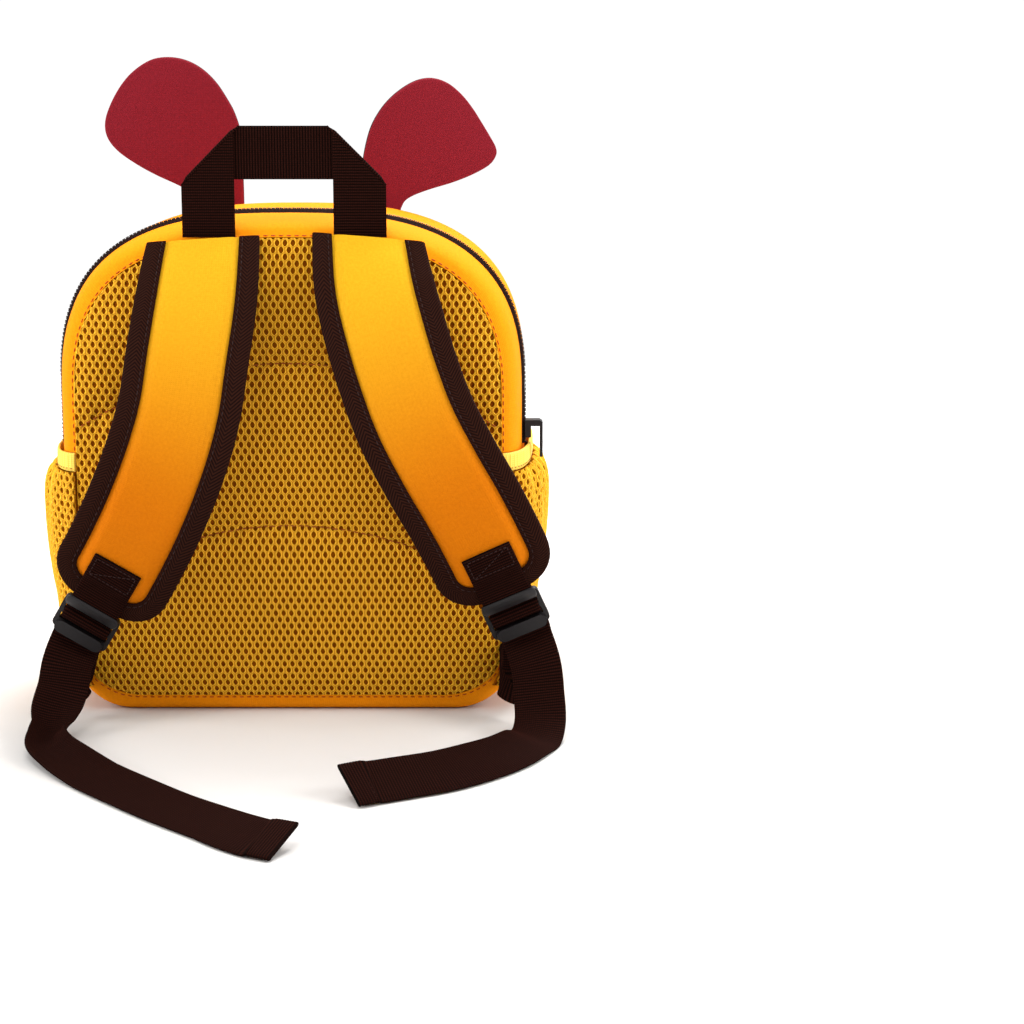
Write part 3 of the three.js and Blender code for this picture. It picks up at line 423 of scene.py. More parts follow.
@dataclass
class Piece:
    """Vertices in millimetres, faces and flat cloth places that become one object."""

    name: str
    slot: Slot
    vertices: list[Array] = field(default_factory=list)
    faces: list[Array] = field(default_factory=list)
    flat: list[Array] = field(default_factory=list)
    tones: list[Array] = field(default_factory=list)
    count: int = 0
    # Painted highlight and shade of a net's strands, one number for each vertex
    painted_light_tones: Array | None = None

    def add(self, points: Array, faces: Array, flat: Array | None = None) -> int:
        """Add vertices and the faces between them.

        Args:
            points: places, one row each, in millimetres.
            faces: rows of three or four numbers of these points.
            flat: flat cloth places in millimetres, one row for each point.

        Returns:
            The number of the first new vertex.
        """
        start = self.count
        self.vertices.append(points)
        self.flat.append(points[:, :2] if flat is None else flat)
        self.more(faces + start)
        self.count += len(points)
        return start

    def more(self, faces: Array) -> None:
        """Add faces between vertices that are already there, in the first material."""
        self.faces.append(faces)
        self.tones.append(np.zeros(len(faces), dtype=int))

    def grid(self, points: Array, flat: Array) -> None:
        """Add a grid of points as quads, its last column joined to the first."""
        rows, columns = points.shape[:2]
        self.add(points.reshape(-1, 3), quads(rows, columns, ring=True), flat.reshape(-1, 2))

    def sheet(self, outer: Array, inner: Array, flat: Array) -> None:
        """Add a closed sheet with an outer and an inner face and its four edges.

        Args:
            outer: rows by columns by three.
            inner: the same for the inner face.
            flat: rows by columns by two.
        """
        rows, columns = outer.shape[:2]
        size = rows * columns
        front = quads(rows, columns)
        back = front[:, ::-1] + size
        number = np.arange(size).reshape(rows, columns)
        border = np.concatenate([
            number[0, :], number[1:, -1], number[-1, -2::-1], number[-2:0:-1, 0],
        ])
        after = np.roll(border, -1)
        edge = np.stack([after, border, border + size, after + size], axis=1)
        points = np.concatenate([outer.reshape(-1, 3), inner.reshape(-1, 3)])
        places = np.concatenate([flat.reshape(-1, 2)] * 2)
        self.add(points, np.concatenate([front, back, edge]), places)

    def make(self, materials: Sequence[bpy.types.Material], sharp: float | None = None) -> bpy.types.Object:
        """Turn the piece into an object that rides on the bag.

        Args:
            materials: one for each tone.
            sharp: edges turning more than these degrees stay sharp.

        Returns:
            The new object.
        """
        points = np.concatenate(self.vertices) * MM
        flat = np.concatenate(self.flat) * MM
        mesh = bpy.data.meshes.new(self.name)
        rows = [row.tolist() for block in self.faces for row in block]
        mesh.from_pydata(points.tolist(), [], rows)
        mesh.validate()
        chart = mesh.uv_layers.new(name=CLOTH_MAP)
        corners = np.empty(len(mesh.loops), dtype=np.int32)
        mesh.loops.foreach_get("vertex_index", corners)
        chart.data.foreach_set("uv", flat[corners].astype(np.float32).ravel())
        if self.painted_light_tones is not None:
            mesh.attributes.new(PAINTED_LIGHT_ATTRIBUTE, "FLOAT", "POINT").data.foreach_set("value", self.painted_light_tones.astype(np.float32))
        tones = np.concatenate(self.tones)
        if len(mesh.polygons) == len(tones):
            mesh.polygons.foreach_set("material_index", tones.astype(np.int32))
        mesh.shade_smooth()
        if sharp is not None:
            mesh.set_sharp_from_angle(angle=math.radians(sharp))
        for material in materials:
            mesh.materials.append(material)
        thing = bpy.data.objects.new(self.name, mesh)
        bpy.context.scene.collection.objects.link(thing)
        turn_outwards(thing)
        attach(thing, ROOT)
        LOG.info("%s: %d faces", self.name, len(mesh.polygons))
        return thing


def turn_outwards(thing: bpy.types.Object) -> None:
    """Turn all faces of a closed mesh outwards when its volume comes out negative.

    Args:
        thing: the object with the mesh.
    """
    mesh = thing.data
    mesh.calc_loop_triangles()
    corners = np.empty(len(mesh.loop_triangles) * 3, dtype=np.int32)
    mesh.loop_triangles.foreach_get("vertices", corners)
    points = np.empty(len(mesh.vertices) * 3)
    mesh.vertices.foreach_get("co", points)
    a, b, c = points.reshape(-1, 3)[corners.reshape(-1, 3)].transpose(1, 0, 2)
    if float(np.sum(a * np.cross(b, c))) < 0:
        mesh.flip_normals()


def quads(rows: int, columns: int, ring: bool = False) -> Array:
    """Number the quads of a grid of points.

    Args:
        rows: how many rows.
        columns: how many columns.
        ring: whether the last column joins the first.

    Returns:
        Rows of four point numbers.
    """
    number = np.arange(rows * columns).reshape(rows, columns)
    if ring:
        number = np.concatenate([number, number[:, :1]], axis=1)
    a, b = number[:-1, :-1], number[:-1, 1:]
    c, d = number[1:, 1:], number[1:, :-1]
    return np.stack([a, b, c, d], axis=-1).reshape(-1, 4)


def unit(v: Array) -> Array:
    """Scale vectors to length one."""
    return v / np.maximum(np.linalg.norm(v, axis=-1, keepdims=True), 1e-12)


def smooth(x: Array) -> Array:
    """Ease from 0 to 1 while x goes from 0 to 1."""
    x = np.clip(x, 0.0, 1.0)
    return x * x * (3 - 2 * x)


def normals_of(places: Places, u: Array, v: Array, step: float = 0.4) -> Array:
    """Work out a surface's normals from small steps along it.

    Args:
        places: gives points for flat places.
        u: first flat coordinate.
        v: second flat coordinate.
        step: the step in millimetres.

    Returns:
        Unit normals, along the cross product of the u and v directions.
    """
    along_u = places(u + step, v) - places(u - step, v)
    along_v = places(u, v + step) - places(u, v - step)
    return unit(np.cross(along_u, along_v))


def with_ends(points: Array) -> Array:
    """Add a row before the first and one after the last, straight on."""
    return np.concatenate([2 * points[:1] - points[1:2], points, 2 * points[-1:] - points[-2:-1]])


def arc_lengths(points: Array) -> Array:
    """Give the distance gone at each point of a path."""
    return np.concatenate([[0], np.cumsum(np.linalg.norm(np.diff(points, axis=0), axis=1))])


def sample(at: Array, gone: Array, rows: Array) -> Array:
    """Read rows of three numbers at distances between them.

    Args:
        at: the distances to read at.
        gone: the distance of each row.
        rows: the rows, such as points of a path.

    Returns:
        One row for each distance.
    """
    return np.stack([np.interp(at, gone, rows[:, i]) for i in range(3)], axis=-1)


def through_rows(rows: Array, steps: int) -> Array:
    """Draw a smooth curve through rows of numbers.

    Args:
        rows: one row for each point that the curve passes.
        steps: pieces between two rows.

    Returns:
        The finer rows.
    """
    padded = with_ends(rows)
    t = np.linspace(0, 1, steps, endpoint=False)[:, None]
    pieces = []
    for p0, p1, p2, p3 in zip(padded[:-3], padded[1:-2], padded[2:-1], padded[3:]):
        pieces.append(0.5 * (
            2 * p1 + (p2 - p0) * t + (2 * p0 - 5 * p1 + 4 * p2 - p3) * t ** 2
            + (3 * p1 - p0 - 3 * p2 + p3) * t ** 3
        ))
    return np.concatenate([*pieces, rows[-1:]])


def centripetal(points: Array, steps: int) -> Array:
    """Draw a centripetal Catmull-Rom curve through points.

    Args:
        points: the points that the curve passes.
        steps: pieces between two points.

    Returns:
        The finer points.
    """
    padded = with_ends(points)
    t = np.linspace(0, 1, steps, endpoint=False)[:, None]
    pieces = []
    for p0, p1, p2, p3 in zip(padded[:-3], padded[1:-2], padded[2:-1], padded[3:]):
        d0, d1, d2 = (max(np.linalg.norm(b - a) ** 0.5, 1e-4) for a, b in ((p0, p1), (p1, p2), (p2, p3)))
        t1 = ((p1 - p0) / d0 - (p2 - p0) / (d0 + d1) + (p2 - p1) / d1) * d1
        t2 = ((p2 - p1) / d1 - (p3 - p1) / (d1 + d2) + (p3 - p2) / d2) * d1
        c2 = -3 * p1 + 3 * p2 - 2 * t1 - t2
        c3 = 2 * p1 - 2 * p2 + t1 + t2
        pieces.append(p1 + t1 * t + c2 * t ** 2 + c3 * t ** 3)
    return np.concatenate([*pieces, points[-1:]])


@dataclass(frozen=True)
class Net:
    """A knitted net of staggered oval holes with real strands between them."""

    across: float = 3.7
    along: float = 3.15
    hole_across: float = 1.2
    hole_along: float = 1.78
    crest: float = 1.0
    # Heights of the net's edge and of the middle between its holes, in shares of the crest
    edge_height: float = 0.35
    valley_height: float = 0.72
    # How far the holes' walls reach under the surface, and the tone of their feet, darkened as painted shade
    foot: float = 0.15
    foot_painted_shade: float = 0.3
    smallest_face: float = 0.02

    def knit(
        self, piece: Piece, places: Places, clamp: Places, low: tuple[float, float],
        high: tuple[float, float],
    ) -> None:
        """Add the net to a piece.

        Args:
            piece: the piece that takes the mesh.
            places: gives points in space for flat places.
            clamp: moves flat places into the net's outline.
            low: lowest flat corner in millimetres.
            high: highest flat corner in millimetres.
        """
        rows = int((high[1] - low[1]) / self.along) + 2
        columns = int((high[0] - low[0]) / self.across) + 2
        r, k = np.meshgrid(np.arange(rows), np.arange(columns), indexing="ij")
        centre_u = (low[0] + (k + 0.5 * (r % 2) - 0.25) * self.across).ravel()
        centre_v = (low[1] + (r + 0.2) * self.along).ravel()
        reach = 1 / 6
        ring = np.array([
            (0.5, 0.0), (0.5, 0.5 - reach), (0.0, 0.5 + reach), (-0.5, 0.5 - reach),
            (-0.5, 0.0), (-0.5, reach - 0.5), (0.0, -0.5 - reach), (0.5, reach - 0.5),
        ])
        hole = np.array([
            (1.0, 0.0), (0.66, 0.6), (0.0, 1.0), (-0.66, 0.6),
            (-1.0, 0.0), (-0.66, -0.6), (0.0, -1.0), (0.66, -0.6),
        ]) * np.array([self.hole_across, self.hole_along])
        outer = np.stack([
            centre_u[:, None] + ring[:, 0] * self.across, centre_v[:, None] + ring[:, 1] * self.along,
        ], axis=-1)
        held = clamp(outer[..., 0], outer[..., 1])
        inside = np.linalg.norm(held - outer, axis=-1) < 1e-6
        kept = inside.sum(axis=1) >= 3
        outer, held, inside = outer[kept], held[kept], inside[kept]
        middle = np.stack([centre_u[kept], centre_v[kept]], axis=-1)[:, None, :] + hole
        middle = clamp(middle[..., 0], middle[..., 1])
        keys = np.round(outer.reshape(-1, 2) * 100).astype(np.int64)
        _, first, number = np.unique(keys, axis=0, return_index=True, return_inverse=True)
        shared = held.reshape(-1, 2)[first]
        at_edge = ~inside.reshape(-1)[first]
        number = number.reshape(-1, 8)
        cells = len(number)
        ring_flat = middle.reshape(-1, 2)
        flat = np.concatenate([shared, ring_flat, ring_flat])
        rise = np.concatenate([
            np.where(at_edge, self.edge_height * self.crest, self.valley_height * self.crest),
            np.full(cells * 8, self.crest),
            np.full(cells * 8, -self.foot),
        ])
        # Painted light and shade of the strands: 1 lights the crests round the holes, 0 darkens the middles
        # between holes, and the walls' feet are darkened as painted shade
        painted_light_tones = np.concatenate([
            np.zeros(len(shared)), np.ones(cells * 8), np.full(cells * 8, self.foot_painted_shade),
        ])
        points = places(flat[:, 0], flat[:, 1])
        points = points + normals_of(places, flat[:, 0], flat[:, 1]) * rise[:, None]
        top = len(shared) + np.arange(cells * 8).reshape(-1, 8)
        foot = top + cells * 8
        after = np.roll(np.arange(8), -1)
        strands = np.stack([number, number[:, after], top[:, after], top], axis=-1).reshape(-1, 4)
        walls = np.stack([top, top[:, after], foot[:, after], foot], axis=-1).reshape(-1, 4)
        faces = np.concatenate([strands, walls])
        corners = points[faces].transpose(1, 0, 2)
        area = np.cross(corners[2] - corners[0], corners[3] - corners[1])
        faces = faces[np.linalg.norm(area, axis=1) > self.smallest_face]
        used, renumbered = np.unique(faces, return_inverse=True)
        piece.add(points[used], renumbered.reshape(-1, 4), flat[used])
        piece.painted_light_tones = painted_light_tones[used]


@dataclass(frozen=True)
class StitchRow:
    """A row of short sewn stitches."""

    pitch: float = 3.2
    length: float = 2.3
    radius: float = 0.28
    sides: int = 6

    def sew(self, piece: Piece, path: Array, out: Array, lift: float = 0.05) -> None:
        """Lay stitches along a path.

        Args:
            piece: the piece that takes the mesh.
            path: points along the seam.
            out: the surface's normals at these points.
            lift: how high the thread's middle lies over the path.
        """
        gone = arc_lengths(path)
        count = max(int(gone[-1] / self.pitch), 1)
        starts = (np.arange(count) + 0.5) * gone[-1] / count
        # Each stitch has five rings that thin out and sink in at its ends
        shares = np.array([-0.5, -0.36, 0.0, 0.36, 0.5])
        girth = np.array([0.25, 0.85, 1.0, 0.85, 0.25])
        sink = np.array([-0.5, -0.1, 0.15, -0.1, -0.5]) * self.radius * 1.6
        at = starts[:, None] + shares * self.length
        centre = sample(at, gone, path)
        normal = unit(sample(at, gone, out))
        along = unit(np.gradient(centre, axis=1))
        side = np.cross(along, normal)
        angle = np.arange(self.sides) * math.pi / 3
        circle = np.cos(angle)[:, None] * side[:, :, None, :] + np.sin(angle)[:, None] * normal[:, :, None, :]
        centre = centre + normal * (lift + sink)[:, None]
        points = centre[:, :, None, :] + circle * (girth * self.radius)[:, None, None]
        tube = quads(len(shares), self.sides, ring=True)
        caps = np.array([[0, 1, 2, 3], [0, 3, 4, 5], [27, 26, 25, 24], [29, 28, 27, 24]])
        one = np.concatenate([tube, caps])
        size = len(shares) * self.sides
        faces = (one[None] + size * np.arange(count)[:, None, None]).reshape(-1, 4)
        piece.add(points.reshape(-1, 3), faces)


# The bag's body


@dataclass(frozen=True)
class BodyShape:
    """Outline and depth profile of the bag, in millimetres, as its frame has them."""

    half_width: float = 112.0
    top: float = 240.0
    spring: float = 150.0
    power: float = 2.75
    corner_width: float = 28.0
    corner_height: float = 30.0
    wall: float = 2.0
    back: float = -50.0
    front: float = 48.0
    zip_back: float = -25.0
    zip_front: float = -17.0
    pocket_mouth: float = 127.0
    upper_legs: int = 6
    lower_legs: int = 8
    # Depth, inset and lift of the base, from the back edge to the front edge
    rows: tuple = (
        (-50.0, 11.0, 8.0), (-47.0, 6.5, 1.2), (-40.0, 3.5, 0.0), (-25.0, 1.5, 0.0), (-17.0, 1.0, 0.0),
        (10.0, 0.0, 0.0), (34.0, 1.0, 0.0), (44.0, 4.5, 2.0), (48.0, 9.0, 7.0),
    )

    def arch(self, x: Array, inset: float | Array) -> Array:
        """Give the top outline's height.

        Args:
            x: places across.
            inset: how far the wall lies inside the widest outline.

        Returns:
            The heights.
        """
        share = np.clip(np.abs(x) / (self.half_width - inset), 0, 1)
        rise = self.top - self.spring - inset
        return self.spring + rise * (1 - share ** self.power) ** (1 / self.power)

    def base(self, x: Array, inset: float, lift: float) -> Array:
        """Give the bottom outline's height.

        Args:
            x: places across.
            inset: how far the wall lies inside the widest outline.
            lift: height of the base's middle.

        Returns:
            The heights.
        """
        half = self.half_width - inset
        over = np.clip((np.abs(x) - (half - self.corner_width)) / self.corner_width, 0, 1)
        return lift + (self.corner_height - lift) * (1 - np.sqrt(1 - over ** 2))

    def inset_at(self, depth: Array) -> Array:
        """Give the wall's inset at a depth."""
        rows = np.array(self.rows)
        return np.interp(depth, rows[:, 0], rows[:, 1])

    def columns(self, count: int) -> Array:
        """Give shares across that crowd towards the sides."""
        return np.sin(np.linspace(-1, 1, count) * math.pi / 2)

    def upper(self, row: Array, count: int = 81) -> Array:
        """Give the outline from one pocket mouth over the top to the other.

        Args:
            row: depth and inset.
            count: points over the top.

        Returns:
            Points from left to right.
        """
        x = (self.half_width - row[1]) * self.columns(count)
        leg = np.linspace(self.pocket_mouth + SEAM_GAP / 2, self.spring, self.upper_legs, endpoint=False)
        return self.between_legs(row[0], x, self.arch(x, row[1]), leg)

    def lower(self, row: Array) -> Array:
        """Give the outline from one pocket mouth under the base to the other.

        Args:
            row: depth, inset and lift.

        Returns:
            Points from left to right.
        """
        x = (self.half_width - row[1]) * self.columns(81)
        head = self.pocket_mouth - SEAM_GAP / 2
        leg = np.linspace(head, self.corner_height, self.lower_legs, endpoint=False)
        return self.between_legs(row[0], x, self.base(x, row[1], row[2]), leg)

    def between_legs(self, depth: float, x: Array, z: Array, leg: Array) -> Array:
        """Stand an upright leg at each end of an outline's middle part.

        Args:
            depth: the outline's depth.
            x: places across.
            z: their heights.
            leg: the leg's heights, from the pocket mouth on.

        Returns:
            Points from left to right.
        """
        xs = np.concatenate([np.full(len(leg), x[0]), x, np.full(len(leg), x[-1])])
        zs = np.concatenate([leg, z, leg[::-1]])
        return np.stack([xs, np.full_like(xs, depth), zs], axis=-1)

    def profile(self, low: float, high: float, steps: int = 5) -> Array:
        """Give smooth rows of depth, inset and lift.

        Args:
            low: the first depth.
            high: the last depth.
            steps: pieces between two rows.

        Returns:
            The finer rows.
        """
        rows = np.array([row for row in self.rows if low - 0.01 <= row[0] <= high + 0.01])
        fine = through_rows(rows, steps)
        fine[:, 2] = np.maximum(fine[:, 2], 0)
        return fine


BODY = BodyShape()

def inward_rows(
    rows: Array, wall: float, first: tuple | None = None, last: tuple | None = None,
) -> Array:
    """Move a profile inwards by the wall's thickness.

    Args:
        rows: rows of depth, inset and lift.
        wall: the thickness.
        first: direction of the first row's thickness, if it isn't square to the profile.
        last: the same for the last row.

    Returns:
        The inner rows.
    """
    along = unit(np.gradient(rows[:, :2], axis=0))
    normal = np.stack([-along[:, 1], along[:, 0]], axis=1)
    if first is not None:
        normal[0] = first
    if last is not None:
        normal[-1] = last
    inner = rows.copy()
    inner[:, 0] += normal[:, 0] * wall
    inner[:, 1] += normal[:, 1] * wall
    inner[:, 2] += normal[:, 1] * wall
    return inner


@dataclass
class Shell:
    """The neoprene walls: back border, front wall, base and front panel."""

    wardrobe: Wardrobe
    front_wall: float = 3.0
    dome: float = 12.0
    middle_height: float = 118.0
    slant: float = math.sqrt(0.5)

    def walls(self) -> None:
        """Build the border, the front wall and the base."""
        back = BODY.profile(BODY.back, BODY.zip_back)
        back[-1, 0] -= SEAM_GAP
        self.wall("back_gusset", back, BODY.upper, (1, 0), (0, 1))
        front = BODY.profile(BODY.zip_front, BODY.front)
        front[0, 0] += SEAM_GAP
        self.wall("front_gusset", front, BODY.upper, (0, 1), (-self.slant, self.slant))
        base = BODY.profile(BODY.back, BODY.front)
        self.wall("base_gusset", base, BODY.lower, (1, 0), (-self.slant, self.slant))

    def wall(self, node: str, rows: Array, outline: Callable, first: tuple, last: tuple) -> None:
        """Build one wall along an outline.

        Args:
            node: the frame's node that it stands for.
            rows: rows of depth, inset and lift.
            outline: gives the outline at a row.
            first: direction of the first edge's thickness.
            last: direction of the last edge's thickness.
        """
        piece = Piece(node + "_neoprene", Slot.NEOPRENE)
        outer = np.array([outline(row) for row in rows])
        inner = np.array([outline(row) for row in inward_rows(rows, BODY.wall, first, last)])
        across = arc_lengths(outer[len(outer) // 2])
        down = arc_lengths(rows[:, :2])
        flat = np.stack(np.meshgrid(across, down), axis=-1)
        piece.sheet(outer, inner, flat)
        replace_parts(piece.make([self.wardrobe.neoprene], sharp=60), node)

    def front_panel(self) -> None:
        """Build the domed front from rings that shrink towards its middle."""
        edge = BODY.rows[-1]
        row = np.array([edge[0] + SEAM_GAP, edge[1] + SEAM_GAP, edge[2] + SEAM_GAP])
        outline = self.ring(row)
        inner_outline = self.ring(row + np.array([0, 1, 1]) * self.front_wall * self.slant)
        # Rings in shares of the outline, and the dome's rise over these shares
        shares = np.array([1, 0.985, 0.96, 0.93, 0.87, 0.8, 0.7, 0.58, 0.45, 0.3, 0.15, 0.03])
        rises = np.interp(shares[::-1], [0, 0.35, 0.7, 0.93, 1], [1, 0.95, 0.78, 0.42, 0])[::-1]
        middle = np.array([0, 0, self.middle_height])
        loops = []
        for share, rise in zip(shares[::-1], rises[::-1]):
            loop = middle + (outline - middle) * share
            loop[:, 1] = row[0] + self.dome * rise
            loops.append(loop)
        for share, rise in zip(shares, rises):
            loop = middle + (inner_outline - middle) * share
            back = self.front_wall * (self.slant if share == 1 else 1)
            loop[:, 1] = row[0] + self.dome * rise - back
            loops.append(loop)
        piece = Piece("front_panel_neoprene", Slot.NEOPRENE)
        points = np.array(loops)
        piece.grid(points, points[:, :, [0, 2]])
        count, last = points.shape[1], (len(loops) - 1) * points.shape[1]
        ends = np.array([points[0].mean(axis=0), points[-1].mean(axis=0)])
        around = np.arange(count)
        tip = np.full(count, piece.count)
        start = np.stack([tip, np.roll(around, -1), around], axis=1)
        finish = np.stack([tip + 1, last + around, last + np.roll(around, -1)], axis=1)
        piece.add(ends, np.concatenate([start, finish]) - piece.count, ends[:, [0, 2]])
        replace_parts(piece.make([self.wardrobe.neoprene], sharp=60), "front_panel")

    def ring(self, row: Array) -> Array:
        """Give the closed outline at a row, without its legs."""
        upper = BODY.upper(row)[BODY.upper_legs:-BODY.upper_legs]
        return np.concatenate([upper, BODY.lower(row)[BODY.lower_legs:-BODY.lower_legs][::-1]])


@dataclass
class BackPanel:
    """The padded spacer-mesh panel with its two sewn arches."""

    wardrobe: Wardrobe
    back_face: float = 3.5
    puff: float = 3.9
    upper_seam: float = 170.0
    lower_seam: float = 92.0
    seam_drop: float = 0.00313
    pillow_power: float = 3.6
    edge_power: float = 10.0
    pucker: float = 0.6
    pucker_pitch: float = 11.0
    pucker_reach: float = 7.0
    # How the puckers drift out of step: by how much, and over what length
    pucker_drift: float = 1.7
    drift_length: float = 13.0
    shoulder_fall: float = 26.0
    rim_swell: float = 0.35
    rim_fall: float = 6.0
    net: Net = Net()

    def __post_init__(self) -> None:
        """Work out the panel's outline from the border."""
        first = BODY.rows[0]
        self.inset = first[1] + SEAM_GAP
        self.lift = first[2] + SEAM_GAP
        self.half = BODY.half_width - self.inset

    def seam(self, level: float, x: Array) -> Array:
        """Give a sewn arch's height over places across."""
        return level - self.seam_drop * x ** 2

    def rise(self, x: Array, z: Array) -> Array:
        """Give how far the pad swells.

        Args:
            x: places across.
            z: heights.

        Returns:
            The swell in millimetres.
        """
        levels = [
            BODY.base(x, self.inset, self.lift), self.seam(self.lower_seam, x),
            self.seam(self.upper_seam, x), BODY.arch(x, self.inset),
        ]
        pillow = np.zeros_like(x)
        for low, high in zip(levels[:-1], levels[1:]):
            t = np.clip((z - low) / np.maximum(high - low, 1e-6), 0, 1)
            pillow = np.maximum(pillow, 1 - np.abs(2 * t - 1) ** self.pillow_power)
        shoulder = np.clip((BODY.arch(x, self.inset) - z) / self.shoulder_fall, 0, 1)
        side = 1 - np.clip(np.abs(x) / self.half, 0, 1) ** self.edge_power
        floor = self.rim_swell * smooth(np.minimum(z - levels[0], levels[3] - z) / self.rim_fall)
        near = sum(np.exp(-((z - level) / self.pucker_reach) ** 2) for level in levels[1:3])
        drift = self.pucker_drift * np.sin(x / self.drift_length)
        wave = np.sin(2 * math.pi * x / self.pucker_pitch + drift)
        swell = self.puff * pillow * (0.5 + 0.5 * smooth(shoulder))
        return (swell + floor + self.pucker * near * wave) * side

    def places(self, x: Array, z: Array) -> Array:
        """Give points of the pad's face under the net."""
        return np.stack([x, BODY.back - self.rise(x, z), z], axis=-1)

    def clamp(self, x: Array, z: Array) -> Array:
        """Move flat places into the panel's outline.

        Args:
            x: places across.
            z: heights.

        Returns:
            The moved places, two numbers each.
        """
        inside = np.clip(x, -self.half, self.half)
        low = BODY.base(inside, self.inset, self.lift)
        high = BODY.arch(inside, self.inset)
        return np.stack([inside, np.clip(z, low, high)], axis=-1)

    def build(self) -> None:
        """Build the pad, the net over it and its seams."""
        x = self.half * BODY.columns(91)
        low, high = BODY.base(x, self.inset, self.lift), BODY.arch(x, self.inset)
        # Each pillow's rows crowd towards its seams
        cuts = []
        for a, b, count in (
            (low, self.seam(self.lower_seam, x), 26),
            (self.seam(self.lower_seam, x), self.seam(self.upper_seam, x), 30),
            (self.seam(self.upper_seam, x), high, 26),
        ):
            t = 0.5 - 0.5 * np.cos(np.linspace(0, math.pi, count))
            cuts.append(a + (b - a) * t[:, None])
        z = np.concatenate([cuts[0], cuts[1][1:], cuts[2][1:]])
        xs = np.broadcast_to(x, z.shape)
        outer = self.places(xs, z)
        inner = outer.copy()
        inner[..., 1] = BODY.back + self.back_face
        pad = Piece("back_panel_pad", Slot.MESH)
        pad.sheet(outer, inner, np.stack([xs, z], axis=-1))
        # The pad shows through the net's holes in its dark brown painted shade
        pad_object = pad.make([self.wardrobe.spacer_underlayer_painted_shade], sharp=60)
        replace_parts(pad_object, "back_panel")
        net = Piece("back_panel_net", Slot.MESH)
        self.net.knit(net, self.places, self.clamp, (-self.half, self.lift), (self.half, BODY.top))
        net.make([self.wardrobe.strand])
        self.sew()

    def sew(self) -> None:
        """Sew the two arches and the border seam."""
        arches = Piece("back_panel_arch_stitches", Slot.MESH)
        row = StitchRow(pitch=3.4, length=2.6, radius=0.36)
        for level in (self.lower_seam, self.upper_seam):
            x = np.linspace(-self.half + 2, self.half - 2, 160)
            z = self.seam(level, x)
            path = self.places(x, z)
            normal = -normals_of(self.places, x, z)
            out = np.where(normal[:, 1:2] > 0, -normal, normal)
            row.sew(arches, path, out, lift=self.net.crest + 0.1)
        arches.make([self.wardrobe.ochre_thread])
        border = Piece("back_panel_border_stitches", Slot.NEOPRENE)
        edge = np.array([BODY.back + 0.35, BODY.rows[0][1] - 0.8, BODY.rows[0][2] - 1.2])
        out = np.array([0, -1.0, 0])
        row = StitchRow(pitch=3.6, length=2.2, radius=0.24)
        for outline in (BODY.upper(edge), BODY.lower(edge)):
            row.sew(border, outline, np.broadcast_to(out, outline.shape), lift=0.1)
        border.make([self.wardrobe.orange_thread])


@dataclass
class Zip:
    """Woven tape and nylon coil that run from pocket to pocket over the top."""

    wardrobe: Wardrobe
    tape: float = 1.2
    recess: float = 0.25
    crown: float = 1.6
    slider_edge: float = 0.5
    tooth_pitch: float = 1.0
    tooth_half: float = 1.7
    tooth_rise: float = 0.55

    def build(self) -> None:
        """Build the tape and the coil."""
        inset = (BODY.rows[3][1] + BODY.rows[4][1]) / 2
        middle = (BODY.zip_back + BODY.zip_front) / 2
        depths = np.linspace(BODY.zip_back, BODY.zip_front, 13)
        hump = np.clip(1 - ((depths - middle) / (BODY.zip_front - middle)) ** 2, 0, 1)
        tops = inset + self.recess - self.crown * smooth(hump)
        outer = np.array([BODY.upper(np.array([d, top])) for d, top in zip(depths, tops)])
        inner = np.array([BODY.upper(np.array([d, top + self.tape])) for d, top in zip(depths, tops)])
        piece = Piece("zip_tape", Slot.ZIP)
        flat = np.stack(np.meshgrid(arc_lengths(outer[6]), depths), axis=-1)
        piece.sheet(outer, inner, flat)
        tape = piece.make([self.wardrobe.zip_tape], sharp=60)
        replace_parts(tape, "zipper")
        coil = Piece("zip_coil", Slot.ZIP)
        self.teeth(coil, inset, middle)
        coil.make([self.wardrobe.zip_coil], sharp=50)
        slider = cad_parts["zip_slider"]
        soften(slider, self.slider_edge)
        slider.data.materials.clear()
        slider.data.materials.append(self.wardrobe.plastic)

    def teeth(self, coil: Piece, inset: float, middle: float) -> None:
        """Stand small rounded loops along the middle of the tape, left and right in turn.

        Args:
            coil: the piece that takes the mesh.
            inset: the walls' inset where the zip runs.
            middle: depth of the tape's middle.
        """
        path = BODY.upper(np.array([middle, inset + self.recess - self.crown]), count=241)
        gone = arc_lengths(path)
        count = int(gone[-1] / self.tooth_pitch)
        centre = sample((np.arange(count) + 0.5) * gone[-1] / count, gone, path)
        along = unit(np.gradient(centre, axis=0))
        depth = np.array([0.0, 1.0, 0.0])
        out = np.cross(along, depth)
        upright = np.abs(out[:, 2:3]) <= 0.05
        out = np.where((out[:, 2:3] < 0) & ~upright, -out, out)
        out = np.where(upright & (out[:, :1] * centre[:, :1] < 0), -out, out)
        side = np.where(np.arange(count) % 2 == 0, 1.0, -1.0)[:, None]
        loops = []
        # Each loop has three rings: its height, half its length and half its width in shares of a tooth
        for height, half_along, half_depth in ((0, 0.62, 1.0), (0.7, 0.66, 1.05), (1.0, 0.4, 0.75)):
            for a, d in ((-1, -1), (1, -1), (1, 1), (-1, 1)):
                loops.append(
                    centre + out * height * self.tooth_rise + along * a * half_along * self.tooth_pitch * 0.5
                    + depth * (side * self.tooth_half * 0.42 + d * half_depth * self.tooth_half * 0.5)
                )
        points = np.stack(loops, axis=1)
        one = np.concatenate([quads(3, 4, ring=True), [[8, 9, 10, 11]], [[3, 2, 1, 0]]])
        faces = (one[None] + len(loops) * np.arange(count)[:, None, None]).reshape(-1, 4)
        coil.add(points.reshape(-1, 3), faces)


